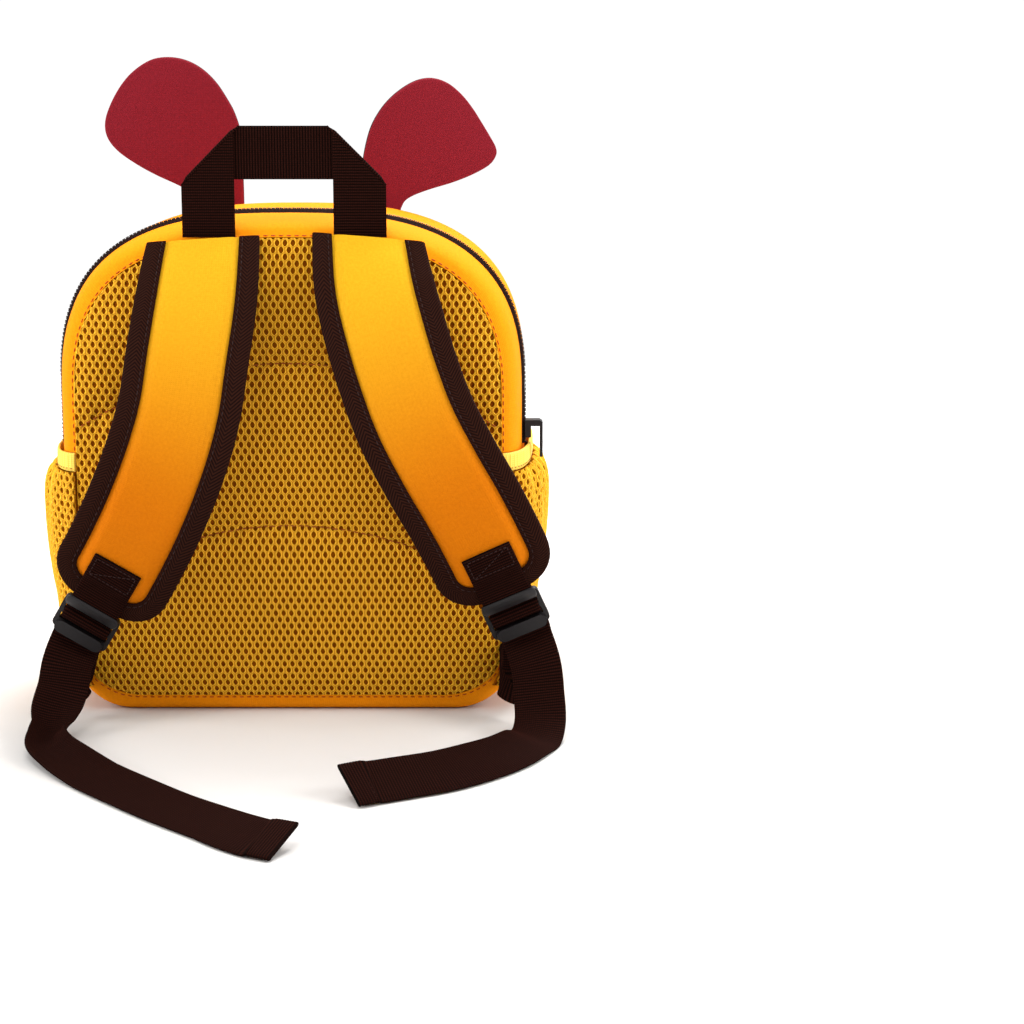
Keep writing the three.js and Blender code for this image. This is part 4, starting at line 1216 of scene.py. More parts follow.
def soften(thing: bpy.types.Object, width: float) -> None:
    """Round a hard part's edges with a bevel.

    Args:
        thing: the hard part.
        width: the bevel's width in millimetres.
    """
    bevel = thing.modifiers.new("rounded_edges", "BEVEL")
    bevel.width = width * MM
    bevel.segments = 3
    bevel.limit_method = "ANGLE"
    bevel.angle_limit = math.radians(35)
    bevel.harden_normals = True
    LOG.info("%s: edges rounded by %.2f mm", thing.name, width)


@dataclass
class SidePocket:
    """A gathered mesh pocket on each side, sewn into the panel's seam, with its elastic band."""

    wardrobe: Wardrobe
    foot: float = 13.0
    band_height: float = 9.0
    band_wall: float = 1.5
    half_depth: float = 46.0
    stand_off: float = SEAM_GAP * 1.3
    bulge: float = 9.0
    mouth_gap: float = 2.2
    gather: float = 1.2
    gathers: int = 7
    lining: float = 1.3
    ruffle: float = 0.16
    ruffle_pitch: float = 2.1
    # Share of the height, share of the bulge and share of the gathers
    rows: tuple = (
        (0, 0, 0), (0.15, 0.25, 0), (0.3, 0.42, 0), (0.4, 0.56, 0), (0.48, 0.74, 0), (0.62, 0.94, 0.1),
        (0.76, 1, 0.3), (0.87, 0.9, 0.7), (0.93, 0.74, 0.9), (0.97, 0.52, 1), (1, 0.22, 0.7),
    )
    net: Net = Net(crest=0.9)

    def __post_init__(self) -> None:
        """Work out the band's foot and the side wall's profile from back to front."""
        self.band_foot = BODY.pocket_mouth - self.band_height
        self.cloth_top = self.band_foot - SEAM_GAP
        self.fine = through_rows(np.array(self.rows), 8)
        profile = BODY.profile(BODY.back, BODY.front, 8)
        self.profile = profile[profile[:, 0] <= self.half_depth + 0.01]
        self.out = unit(np.gradient(self.profile[:, :2], axis=0))
        gone = arc_lengths(self.profile[:, :2])
        self.gone = gone - np.interp(0, self.profile[:, 0], gone)

    def surface(
        self, g: Array, z: Array, bulge: Array, off: Array, side: int,
    ) -> Array:
        """Give points over the side wall.

        Args:
            g: distance along the wall's profile, zero at the middle of its depth.
            z: height.
            bulge: how far the cloth stands out to the side.
            off: how far it stands off along the wall's own normal.
            side: -1 for the left pocket, 1 for the right one.

        Returns:
            The points.
        """
        y = np.interp(g, self.gone, self.profile[:, 0])
        inset = np.interp(g, self.gone, self.profile[:, 1])
        out_x = np.interp(g, self.gone, self.out[:, 0])
        out_y = np.interp(g, self.gone, self.out[:, 1])
        fall = np.clip(z / BODY.corner_height, 0, 1)
        corner = BODY.corner_width * (1 - np.sqrt(1 - (1 - fall) ** 2))
        swell = 1 - np.abs(np.clip(y / self.half_depth, -1, 1)) ** 4
        x = BODY.half_width - inset - corner + out_x * off + bulge * swell
        return np.stack([side * x, y + out_y * off, z], axis=-1)

    def places(self, side: int, off: float) -> Places:
        """Make a function that gives points of the pocket's cloth.

        Args:
            side: -1 for the left pocket, 1 for the right one.
            off: how far the points stand off the cloth's inner face.

        Returns:
            The function.
        """

        def at(g: Array, z: Array) -> Array:
            """Give points of the cloth.

            Args:
                g: distances along the profile.
                z: heights.

            Returns:
                The points.
            """
            share = (z - self.foot) / (self.cloth_top - self.foot)
            bulge = np.interp(share, self.fine[:, 0], self.fine[:, 1]) * self.bulge
            pleat = np.interp(share, self.fine[:, 0], self.fine[:, 2]) * self.gather
            phase = math.pi * self.gathers * (g / self.half_depth + 1)
            fold = pleat * (1 + np.sin(phase + 0.8 * np.sin(g * 0.21)))
            return self.surface(g, z, bulge + fold, np.full_like(g, self.stand_off + off), side)

        return at

    def clamp(self, g: Array, z: Array) -> Array:
        """Move flat places into the pocket's outline."""
        return np.stack([
            np.clip(g, self.gone[0], self.gone[-1]), np.clip(z, self.foot, self.cloth_top),
        ], axis=-1)

    def build(self, side: int, label: str) -> None:
        """Build one pocket: a thin cloth, the net on it and the elastic band.

        Args:
            side: -1 for the left pocket, 1 for the right one.
            label: left or right.
        """
        g = np.linspace(self.gone[0], self.gone[-1], 81)
        z = np.linspace(self.foot, self.cloth_top, 49)
        gs, zs = np.meshgrid(g, z)
        outer = self.places(side, self.lining)
        cloth = Piece(f"pocket_{label}_cloth", Slot.MESH)
        cloth.sheet(outer(gs, zs), self.places(side, 0)(gs, zs), np.stack([gs, zs], axis=-1))
        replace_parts(cloth.make([self.wardrobe.spacer_underlayer_painted_shade], sharp=70), f"pocket_{label}")
        net = Piece(f"pocket_{label}_net", Slot.MESH)

        def facing(u: Array, v: Array) -> Array:
            """Give points with the first direction turned so that the net faces outwards."""
            return outer(side * u, v)

        def held(u: Array, v: Array) -> Array:
            """Move turned places into the outline."""
            return self.clamp(side * u, v) * np.array([side, 1])

        reach = max(-self.gone[0], self.gone[-1])
        self.net.knit(net, facing, held, (-reach, self.foot), (reach, self.cloth_top))
        net.make([self.wardrobe.strand])
        self.band(side, label)

    def band(self, side: int, label: str) -> None:
        """Build the elastic band with the small ruffles of its gathers.

        Args:
            side: -1 for the left pocket, 1 for the right one.
            label: left or right.
        """
        g = np.linspace(self.gone[0], self.gone[-1], 301)
        z = np.linspace(self.band_foot, BODY.pocket_mouth, 13)
        gs, zs = np.meshgrid(g, z)
        share = (zs - self.band_foot) / self.band_height
        rounded = np.sqrt(np.clip(1 - np.abs(2 * share - 1) ** 8, 0, 1))
        ribs = self.ruffle * np.sin(2 * math.pi * gs / self.ruffle_pitch + 0.9 * np.sin(gs * 0.4)) * rounded
        off = self.stand_off + self.band_wall * (0.55 + 0.45 * rounded) + ribs
        gap = np.full_like(gs, self.mouth_gap)
        outer = self.surface(gs, zs, gap, off, side)
        inner = self.surface(gs, zs, gap, self.stand_off + 0.3 * (1 - rounded), side)
        piece = Piece(f"pocket_elastic_{label}_band", Slot.ELASTIC)
        piece.sheet(outer, inner, np.stack([gs, zs], axis=-1))
        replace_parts(piece.make([self.wardrobe.elastic], sharp=80), f"pocket_elastic_{label}")
        self.band_stitches(side, label)

    def band_stitches(self, side: int, label: str) -> None:
        """Sew the band on along its lower edge.

        Args:
            side: -1 for the left pocket, 1 for the right one.
            label: left or right.
        """
        g = np.linspace(self.gone[0] + 0.5, self.gone[-1] - 0.5, 120)
        z = np.full_like(g, self.band_foot + 1.6)
        off = np.full_like(g, self.stand_off + self.band_wall + 0.1)
        path = self.surface(g, z, np.full_like(g, self.mouth_gap), off, side)
        out = self.surface(g, z, np.full_like(g, self.mouth_gap), off + 1, side) - path
        thread = Piece(f"pocket_elastic_{label}_stitches", Slot.ELASTIC)
        StitchRow(pitch=2.6, length=1.8, radius=0.2).sew(thread, path, out)
        thread.make([self.wardrobe.ochre_thread])


def fill(outline: Array, gap: float) -> tuple[Array, Array]:
    """Fill a closed outline with evenly spread points and triangles.

    Args:
        outline: the outline's points, in order.
        gap: distance between the points inside.

    Returns:
        The points inside, and triangles whose numbers count the outline first.
    """
    low, high = outline.min(axis=0), outline.max(axis=0)
    across, up = np.meshgrid(np.arange(low[0], high[0], gap), np.arange(low[1], high[1], gap * 0.87))
    across[1::2] += gap / 2
    spots = np.column_stack([across.ravel(), up.ravel()])
    away = np.linalg.norm(spots[:, None] - outline[None], axis=-1).min(axis=1)
    spots = spots[away > gap * 0.6]
    count = len(outline)
    edges = [(i, (i + 1) % count) for i in range(count)]
    corners = [Vector(spot) for spot in np.concatenate([outline, spots])]
    placed, _, faces, sources, _, _ = delaunay_2d_cdt(corners, edges, [list(range(count))], 1, 1e-5)
    number = np.array([min(source) for source in sources])
    triangles = number[np.array(faces)]
    inside = np.unique(triangles[triangles >= count])
    renumber = np.zeros(len(corners), dtype=int)
    renumber[:count] = np.arange(count)
    renumber[inside] = count + np.arange(len(inside))
    return spots[inside - count], renumber[triangles]


@dataclass
class Ears:
    """Two padded ear shapes sewn into the front seam."""

    wardrobe: Wardrobe
    width: float = 73.0
    height: float = 82.0
    thick: float = 4.0
    root: float = 7.0
    neck_across: float = 39.0
    depth: float = 46.5
    round_over: float = 1.6
    pad: float = 0.7
    pad_reach: float = 12.0
    point_gap: float = 3.2
    left_outline: tuple = (
        (0.133, 0.16), (0.13, 0.33), (0.124, 0.5), (0.085, 0.63), (0.03, 0.725), (-0.045, 0.825),
        (-0.14, 0.905), (-0.25, 0.955), (-0.37, 0.972), (-0.49, 0.955), (-0.61, 0.89), (-0.7, 0.805),
        (-0.775, 0.695), (-0.82, 0.585), (-0.81, 0.49), (-0.74, 0.405), (-0.614, 0.325), (-0.477, 0.258),
        (-0.31, 0.19), (-0.2, 0.13), (-0.15, 0.06),
    )
    right_outline: tuple = (
        (0.17, 0.12), (0.195, 0.26), (0.202, 0.4), (0.188, 0.53), (0.145, 0.64), (0.08, 0.735), (-0.01, 0.82),
        (-0.1, 0.875), (-0.2, 0.9), (-0.31, 0.89), (-0.42, 0.845), (-0.52, 0.78), (-0.61, 0.705),
        (-0.7, 0.625), (-0.76, 0.565), (-0.772, 0.515), (-0.735, 0.45), (-0.63, 0.375), (-0.49, 0.3),
        (-0.33, 0.23), (-0.22, 0.175), (-0.16, 0.13), (-0.14, 0.08),
    )

    def build(self) -> None:
        """Build both ears."""
        self.ear("left", self.left_outline, 1, -self.neck_across, -3, 0)
        self.ear("right", self.right_outline, -1, self.neck_across, 24, -12)

    def rim(self, outline: tuple) -> Array:
        """Give an ear's outline down to its root.

        Args:
            outline: points in shares of the ear's width and height.

        Returns:
            Points in millimetres, two numbers each.
        """
        curve = through_rows(np.array(outline), 5) * np.array([self.width, self.height])
        down = np.linspace(-self.root, 0, 4, endpoint=False)
        inner = np.column_stack([np.full(4, curve[0, 0]), down + curve[0, 1] * np.linspace(0, 0.6, 4)])
        outer = np.column_stack([np.full(4, curve[-1, 0]), down])[::-1]
        return np.concatenate([inner, curve, outer])

    def ear(self, label: str, outline: tuple, mirror: int, across: float, turn: float, lean: float) -> None:
        """Build one ear: a rounded edge, and two faces that swell a little.

        Args:
            label: left or right.
            outline: its outline in shares of its width and height.
            mirror: -1 swaps its sides.
            across: place of its neck across the bag.
            turn: turn about the upright, in degrees.
            lean: lean to the side, in degrees.
        """
        rim = self.rim(outline)
        along = unit(np.roll(rim, -1, axis=0) - np.roll(rim, 1, axis=0))
        inward = np.stack([-along[:, 1], along[:, 0]], axis=1)
        half = self.thick / 2
        angle = np.linspace(0, math.pi / 2, 6)
        rings = [(rim + inward * self.round_over * (1 - math.cos(a)), half * math.sin(a)) for a in angle]
        core = rings[-1][0]
        inside, triangles = fill(core, self.point_gap)
        away = np.linalg.norm(inside[:, None] - core[None], axis=-1).min(axis=1)
        swell = half + self.pad * smooth(away / self.pad_reach)
        near = [np.column_stack([p[:, 0], np.full(len(p), -h), p[:, 1]]) for p, h in rings[::-1]]
        far = [np.column_stack([p[:, 0], np.full(len(p), h), p[:, 1]]) for p, h in rings[1:]]
        loops = np.concatenate([*near, *far])
        local = np.concatenate([
            loops, np.column_stack([inside[:, 0], -swell, inside[:, 1]]),
            np.column_stack([inside[:, 0], swell, inside[:, 1]]),
        ]) * np.array([mirror, 1, 1])
        piece = Piece(f"ear_{label}_neoprene", Slot.EAR)
        count, rows = len(rim), len(near) + len(far)
        sides = quads(rows, count, ring=True)
        start = piece.add(self.place(local, across, turn, lean), sides, local[:, [0, 2]])
        # The thin edge between both faces shows the foam's own colour
        first_edge = (len(near) - 2) * count
        piece.tones[-1][first_edge:first_edge + 2 * count] = 1
        base, extra = rows * count, len(inside)
        piece.more(np.where(triangles < count, triangles, base + triangles - count)[:, ::-1] + start)
        back = np.where(triangles < count, triangles + (rows - 1) * count, base + extra + triangles - count)
        piece.more(back + start)
        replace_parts(piece.make([self.wardrobe.ear, self.wardrobe.ear_edge], sharp=80), f"ear_{label}")

    def place(self, local: Array, across: float, turn: float, lean: float) -> Array:
        """Turn an ear's points, stand them in the seam and cut them off at the bag's surface.

        Args:
            local: the ear's points round its neck.
            across: place of its neck across the bag.
            turn: turn about the upright, in degrees.
            lean: lean to the side, in degrees.

        Returns:
            The points in the bag's frame.
        """
        a, b = math.radians(turn), math.radians(-lean)
        leaning = np.array([[math.cos(b), 0, math.sin(b)], [0, 1, 0], [-math.sin(b), 0, math.cos(b)]])
        turning = np.array([[math.cos(a), -math.sin(a), 0], [math.sin(a), math.cos(a), 0], [0, 0, 1]])
        inset = float(BODY.inset_at(np.array(self.depth)))
        seat = float(BODY.arch(np.array(self.neck_across), inset))
        points = local @ (turning @ leaning).T + np.array([across, self.depth, seat])
        surface = BODY.arch(points[:, 0], BODY.inset_at(points[:, 1]))
        points[:, 2] = np.maximum(points[:, 2], surface + SEAM_GAP / 2)
        return points


@dataclass
class Webbing:
    """Ribbed webbing that follows a route."""

    wardrobe: Wardrobe
    width: float = 24.0
    thick: float = 1.5
    rib_pitch: float = 1.3
    rib_height: float = 0.13
    step: float = 0.43
    steps: int = 12

    def strip(
        self, name: str, centres: Array, across: Array, extra: Array | None = None,
        cup: Array | None = None,
    ) -> bpy.types.Object:
        """Weave a strip along a route.

        Args:
            name: the object's name.
            centres: points of the route.
            across: direction of the width at each point.
            extra: thickness added at each point.
            cup: angle through which the width curls at each point.

        Returns:
            The new object.
        """
        path = centripetal(centres, self.steps)
        share = np.linspace(0, len(centres) - 1, len(path))
        index = np.arange(len(centres))
        none = np.zeros(len(centres))
        sides = sample(share, index, across)
        added = np.interp(share, index, none if extra is None else extra)
        curl = np.interp(share, index, none if cup is None else cup)
        gone = arc_lengths(path)
        at = np.linspace(0, gone[-1], int(gone[-1] / self.step))
        path = sample(at, gone, path)
        sides = sample(at, gone, sides)
        added = np.interp(at, gone, added)
        curl = np.interp(at, gone, curl)
        curl = np.where(np.abs(curl) < 1e-3, 1e-3, curl)[:, None]
        along = unit(np.gradient(path, axis=0))
        sides = unit(sides - along * np.sum(sides * along, axis=1, keepdims=True))
        normal = np.cross(along, sides)
        # Places over the width, and the thickness at each: both selvedges are thin
        shares = np.array([-1, -0.97, -0.9, -0.6, -0.2, 0.2, 0.6, 0.9, 0.97, 1.0])
        body = np.array([0.25, 0.75, 1, 1, 1, 1, 1, 1, 0.75, 0.25])
        ribs = -self.rib_height * np.cos(2 * math.pi * at / self.rib_pitch)
        half = (self.thick / 2 + added[:, None] / 2) * body + ribs[:, None] * (body > 0.5)
        bent = shares * curl / 2
        sideways = np.sin(bent) * self.width / curl
        raised = (1 - np.cos(bent)) * self.width / curl
        face = normal[:, None] * np.cos(bent)[..., None] - sides[:, None] * np.sin(bent)[..., None]
        base = path[:, None] + sides[:, None] * sideways[..., None] + normal[:, None] * raised[..., None]
        outer = base + face * half[..., None]
        inner = base - face * half[..., None]
        flat = np.stack(np.meshgrid(shares * self.width / 2, at), axis=-1)[..., ::-1]
        piece = Piece(name, Slot.WEBBING)
        piece.sheet(outer, inner, flat)
        return piece.make([self.wardrobe.webbing], sharp=70)


@dataclass
class GrabHandle:
    """Carrying loop of wide webbing, folded behind itself at both upper corners."""

    wardrobe: Wardrobe
    width: float = 24.6
    thick: float = 1.5
    half_span: float = 47.5
    top: float = 280.3
    foot: float = 229.0
    fold_set: float = 2.5
    rib_pitch: float = 1.3
    rib_height: float = 0.14
    step: float = 0.42

    def build(self) -> None:
        """Build the two legs, the top stretch behind them and the rolled folds."""
        inner = self.half_span - self.width
        fold_top = inner - self.fold_set
        fold = self.top - (self.half_span - fold_top)
        face = BODY.back - SEAM_GAP
        piece = Piece("grab_handle_webbing", Slot.WEBBING)
        rows = np.arange(self.foot, self.top + self.step, self.step)
        for side in (-1, 1):
            x = np.linspace(inner, self.half_span, 13)
            xs, zs = np.meshgrid(x, rows)
            limit = np.minimum(self.top, fold + (self.half_span - xs))
            self.plate(piece, side * xs, np.minimum(zs, limit), face - self.thick, face, zs, xs)
            self.roll(piece, side, fold_top, fold, face)
        z = np.linspace(self.top - self.width, self.top, 13)
        x = np.arange(-fold_top - self.width, fold_top + self.width + self.step, self.step)
        xs, zs = np.meshgrid(x, z)
        limit = fold_top + (self.top - zs)
        self.plate(piece, np.clip(xs, -limit, limit), zs, face, face + self.thick, xs, zs)
        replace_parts(piece.make([self.wardrobe.webbing], sharp=70), "grab_handle")

    def plate(
        self, piece: Piece, x: Array, z: Array, near: float, far: float, length: Array,
        width: Array,
    ) -> None:
        """Add a flat stretch with ribs over its length.

        Args:
            piece: the piece that takes the mesh.
            x: places across the bag.
            z: heights.
            near: depth of its face towards the straps.
            far: depth of its other face.
            length: places along the webbing.
            width: places over the webbing's width.
        """
        ribs = -self.rib_height * np.cos(2 * math.pi * length / self.rib_pitch)
        spread = (width - width.min()) / (width.max() - width.min())
        edge = np.clip(np.minimum(spread, 1 - spread) * 14, 0.3, 1)
        middle = (near + far) / 2
        half = self.thick / 2 * edge
        outer = np.stack([x, middle - half - ribs * (edge > 0.9), z], axis=-1)
        inner = np.stack([x, middle + half + ribs * (edge > 0.9), z], axis=-1)
        piece.sheet(outer, inner, np.stack([length, width], axis=-1))

    def roll(self, piece: Piece, side: int, fold_top: float, fold: float, face: float) -> None:
        """Add the rounded fold along the corner's diagonal.

        Args:
            piece: the piece that takes the mesh.
            side: -1 for the left corner, 1 for the right one.
            fold_top: place across where the fold meets the top.
            fold: height where it meets the outer edge.
            face: depth of the legs' far face.
        """
        start = np.array([side * self.half_span, face, fold])
        end = np.array([side * fold_top, face, self.top])
        count = int(np.linalg.norm(end - start) / self.step)
        t = np.linspace(0, 1, count)[:, None]
        line = start + (end - start) * t
        out = unit(np.array([side * 1.0, 0, 1.0]))
        angle = np.linspace(-math.pi / 2, math.pi / 2, 9)
        ribs = 1 + 0.05 * np.sin(2 * math.pi * np.arange(count) * self.step / self.rib_pitch)
        radius = self.thick * ribs * np.clip(np.minimum(t[:, 0], 1 - t[:, 0]) * 9, 0.3, 1)
        depth = np.array([0.0, 1.0, 0.0])
        ring = np.cos(angle)[:, None] * out * 0.8 + np.sin(angle)[:, None] * depth
        outer = line[:, None] + ring[None] * radius[:, None, None]
        inner = line[:, None] + ring[None] * 0.15 - out * 0.4
        flat = np.stack(np.meshgrid(angle, np.arange(count) * self.step), axis=-1)[..., ::-1]
        piece.sheet(outer, inner, flat)


@dataclass
class StrapRoute:
    """The middle line of a shoulder strap with its directions along, across and out of the face."""

    rows: tuple
    root_shift: float
    root_slant: float
    reach: float = 42.0
    root_height: float = 229.0
    root_fade: float = 45.0
    root_narrowing: float = 0.08
    half_width: float = 28.0

    def __post_init__(self) -> None:
        """Draw the line through the rows."""
        rows = np.array(self.rows)
        points = np.column_stack([
            rows[:, 0] * BODY.half_width, BODY.back - rows[:, 1] * self.reach, rows[:, 2] * self.root_height,
        ])
        self.path = centripetal(points, 60)
        self.gone = arc_lengths(self.path)
        self.length = float(self.gone[-1])

    def frame(self, s: Array) -> tuple[Array, Array, Array]:
        """Give places and directions at distances along the line.

        Args:
            s: distances, which may run past the ends.

        Returns:
            Centres, normals and directions across.
        """
        inside = np.clip(s, 0, self.length)
        small = 0.6
        ahead = sample(np.clip(inside + small, 0, self.length), self.gone, self.path)
        behind = sample(np.clip(inside - small, 0, self.length), self.gone, self.path)
        tangent = unit(ahead - behind)
        centre = sample(inside, self.gone, self.path) + tangent * (s - inside)[..., None]
        facing = np.array([0, -1.0, 0])
        normal = unit(facing - tangent * (tangent @ facing)[..., None])
        return centre, normal, np.cross(tangent, normal)

    def point(self, s: Array, across: Array, out: Array) -> Array:
        """Give points of the strap, whose root is cut slanting, along the seam that it is sewn into.

        Args:
            s: distances along.
            across: distances across.
            out: heights over the middle.

        Returns:
            The points.
        """
        fade = np.clip(1 - s / self.root_fade, 0, 1)
        s = s + (self.root_shift + self.root_slant * across / self.half_width) * fade
        across = across * (1 - self.root_narrowing * fade ** 2)
        centre, normal, side = self.frame(s)
        return centre + side * across[..., None] + normal * out[..., None]


@dataclass
class ShoulderStrap:
    """One shoulder strap: padded face, mesh underside, binding, buckle and adjusting webbing."""

    wardrobe: Wardrobe
    label: str
    route: StrapRoute
    tail: tuple
    tail_reach: float
    side: int
    half_width: float = 28.0
    corner: float = 18.0
    pad: float = 4.0
    edge: float = 1.9
    tape: float = 1.0
    tape_width: float = 10.0
    drop: float = 31.0
    anchor_up: float = 22.0
    sag: float = 11.0
    webbing_half: float = 12.0
    webbing_half_thick: float = 0.75
    crown: float = 0.3
    pad_rise: float = 4.5
    root_rise: float = 16.0
    # Numbers of the tail's rows where its width curls, with the angle in degrees
    curls: tuple = ()
    hem_step: float = 1.2
    hem_extra: float = 0.7
    net: Net = Net(crest=0.6)

    def half_at(self, q: Array, margin: float) -> Array:
        """Give half the strap's width at a distance from its end."""
        over = np.clip(self.corner - q, 0, self.corner - margin)
        return self.half_width - self.corner + np.sqrt((self.corner - margin) ** 2 - over ** 2)

    def to_edge(self, s: Array, across: Array) -> Array:
        """Give the distance to the strap's outline.

        Args:
            s: distances along.
            across: distances across.

        Returns:
            The distances, less than zero outside.
        """
        q = self.route.length - s
        in_corner = (q < self.corner) & (np.abs(across) > self.half_width - self.corner)
        round_part = self.corner - np.hypot(self.corner - q, np.abs(across) - (self.half_width - self.corner))
        return np.where(in_corner, round_part, np.minimum(self.half_width - np.abs(across), q))

    def rise(self, s: Array, across: Array) -> Array:
        """Give how far the pad stands from the middle.

        Args:
            s: distances along.
            across: distances across.

        Returns:
            The heights.
        """
        away = self.to_edge(s, across) - self.tape_width
        root = 0.35 + 0.65 * smooth(s / self.root_rise)
        crown = self.crown * (1 - (across / self.half_width) ** 2)
        swell = (self.pad - self.edge) * smooth((away + 0.2) / self.pad_rise) * root
        return self.edge + (swell + crown * smooth(away / 8))

    def layer_grid(self, margin: float) -> tuple[Array, Array]:
        """Give the places of a strap layer's grid.

        Args:
            margin: how far inside the outline the layer ends.

        Returns:
            Distances along and distances across.
        """
        length = self.route.length
        straight = np.linspace(0, length - self.corner, 130)
        angle = np.linspace(0, math.pi / 2, 13)[1:]
        bend = length - self.corner + (self.corner - margin) * np.sin(angle)
        s = np.concatenate([straight, bend])
        shares = np.sin(np.linspace(-1, 1, 37) * math.pi / 2 * 0.92) / math.sin(math.pi / 2 * 0.92)
        half = self.half_at(length - s, margin)
        return np.repeat(s[:, None], len(shares), axis=1), half[:, None] * shares

    def layers(self) -> None:
        """Build the neoprene face and the mesh underside."""
        s, across = self.layer_grid(self.tape + SEAM_GAP)
        flat = np.stack([across, s], axis=-1)
        rise = self.rise(s, across)
        middle = np.full_like(s, SEAM_GAP / 2)
        face = Piece(f"shoulder_face_{self.label}_neoprene", Slot.NEOPRENE)
        face.sheet(self.route.point(s, across, rise), self.route.point(s, across, middle), flat)
        face_object = face.make([self.wardrobe.strap], sharp=70)
        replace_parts(face_object, f"shoulder_face_{self.label}")
        under = Piece(f"shoulder_mesh_{self.label}_cloth", Slot.MESH)
        lower = rise - 0.7 * smooth((self.to_edge(s, across) - self.tape_width) / 2)
        under.sheet(self.route.point(s, across, -lower), self.route.point(s, across, -middle), flat)
        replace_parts(under.make([self.wardrobe.spacer_underlayer_painted_shade], sharp=70), f"shoulder_mesh_{self.label}")
        self.under_net()

    def under_net(self) -> None:
        """Knit the net of the underside inside the binding."""
        margin = self.tape_width - 0.6

        def places(across: Array, s: Array) -> Array:
            """Give points of the underside."""
            return self.route.point(s, -across, -(self.rise(s, across) - 0.7))

        def clamp(across: Array, s: Array) -> Array:
            """Move flat places inside the binding.

            Args:
                across: distances across.
                s: distances along.

            Returns:
                The moved places, two numbers each.
            """
            s_in = np.clip(s, 0.5, self.route.length - margin)
            limit = self.half_at(self.route.length - s_in, margin)
            return np.stack([np.clip(across, -limit, limit), s_in], axis=-1)

        net = Piece(f"shoulder_mesh_{self.label}_net", Slot.MESH)
        self.net.knit(net, places, clamp, (-self.half_width, 0.0), (self.half_width, self.route.length))
        net.make([self.wardrobe.strand])

    def border_path(self) -> tuple[Array, Array, Array, Array]:
        """Give the outline down one side, round the end and up the other.

        Returns:
            Distances along and across, and both parts of the inward direction at each.
        """
        length, straight = self.route.length, 110
        angle = np.linspace(0, math.pi / 2, 13)[1:]
        down = np.linspace(0, length - self.corner, straight)
        s = np.concatenate([down, length - self.corner + self.corner * np.sin(angle)])
        bend = self.half_width - self.corner + self.corner * np.cos(angle)
        a = np.concatenate([np.full(straight, self.half_width), bend])
        in_s = np.concatenate([np.zeros(straight), -np.sin(angle)])
        in_a = np.concatenate([-np.ones(straight), -np.cos(angle)])
        mid = np.linspace(1, -1, 9)[1:-1] * (self.half_width - self.corner)
        s = np.concatenate([s, np.full(len(mid), length), s[::-1]])
        across = np.concatenate([a, mid, -a[::-1]])
        in_along = np.concatenate([in_s, np.full(len(mid), -1.0), in_s[::-1]])
        in_across = np.concatenate([in_a, np.zeros(len(mid)), -in_a[::-1]])
        return s, across, in_along, in_across

    def binding(self) -> None:
        """Fold the tape over the edge, down one side, round the end and up the other."""
        s, across, in_s, in_a = self.border_path()
        rim = self.edge + SEAM_GAP
        top = rim + self.tape
        w = self.tape_width
        section = np.array([
            (w, top - 0.5), (w - 0.4, top - 0.05), (w * 0.55, top + 0.1), (1.6, top - 0.05), (0.5, top - 0.5),
            (0.0, top - 1.5), (0.0, 0.0), (0.0, 1.5 - top), (0.5, 0.5 - top), (1.6, 0.05 - top),
            (w * 0.55, -top - 0.1), (w - 0.4, 0.05 - top), (w, 0.5 - top), (w - 0.3, -rim), (self.tape, -rim),
            (self.tape, rim), (w - 0.3, rim),
        ])
        loops = self.route.point(
            s[:, None] + in_s[:, None] * section[:, 0],
            across[:, None] + in_a[:, None] * section[:, 0],
            np.broadcast_to(section[:, 1], (len(s), len(section))),
        )
        run = arc_lengths(np.column_stack([s, across]))
        round_it = arc_lengths(section)
        flat = np.stack(np.meshgrid(round_it, run), axis=-1)[..., ::-1]
        piece = Piece(f"shoulder_binding_{self.label}_tape", Slot.BINDING)
        piece.grid(loops, flat)
        last = (len(loops) - 1) * len(section)
        # Both cut ends, as quads between points of the section
        caps = np.array([
            [0, 1, 2, 16], [2, 3, 15, 16], [3, 4, 5, 15], [5, 6, 7, 15], [7, 8, 9, 14], [9, 10, 13, 14],
            [10, 11, 12, 13],
        ])
        piece.more(caps)
        piece.more(caps[:, ::-1] + last)
        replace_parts(piece.make([self.wardrobe.binding], sharp=75), f"shoulder_binding_{self.label}")
        self.binding_stitches(s, across, in_s, in_a, top)

    def binding_stitches(
        self, s: Array, across: Array, in_s: Array, in_a: Array, top: float,
    ) -> None:
        """Sew the tape down near its inner edge on both faces.

        Args:
            s: distances along the strap's outline.
            across: distances across.
            in_s: the inward direction's part along.
            in_a: its part across.
            top: height of the tape's face over the middle.
        """
        piece = Piece(f"shoulder_stitches_{self.label}", Slot.BINDING)
        inward = self.tape_width - 1.8
        line_s, line_a = s + in_s * inward, across + in_a * inward
        _, normal, _ = self.route.frame(line_s)
        for face in (1, -1):
            path = self.route.point(line_s, line_a, np.full_like(line_s, face * top))
            StitchRow(pitch=3.0, length=2.0, radius=0.22).sew(piece, path, normal * face, lift=0.12)
        piece.make([self.wardrobe.dark_thread])

    def buckle_loop(self) -> None:
        """Lay the short webbing on the face, over the tape and round the buckle's top bar."""
        half = self.webbing_half_thick
        over_pad, over_tape = self.pad + 0.3 + SEAM_GAP + half, self.edge + 1.6 + half
        over_bar, turn = 1.5 + SEAM_GAP + half, SEAM_GAP + half
        bar_end, slope = 5.2 + turn, turn * 0.29
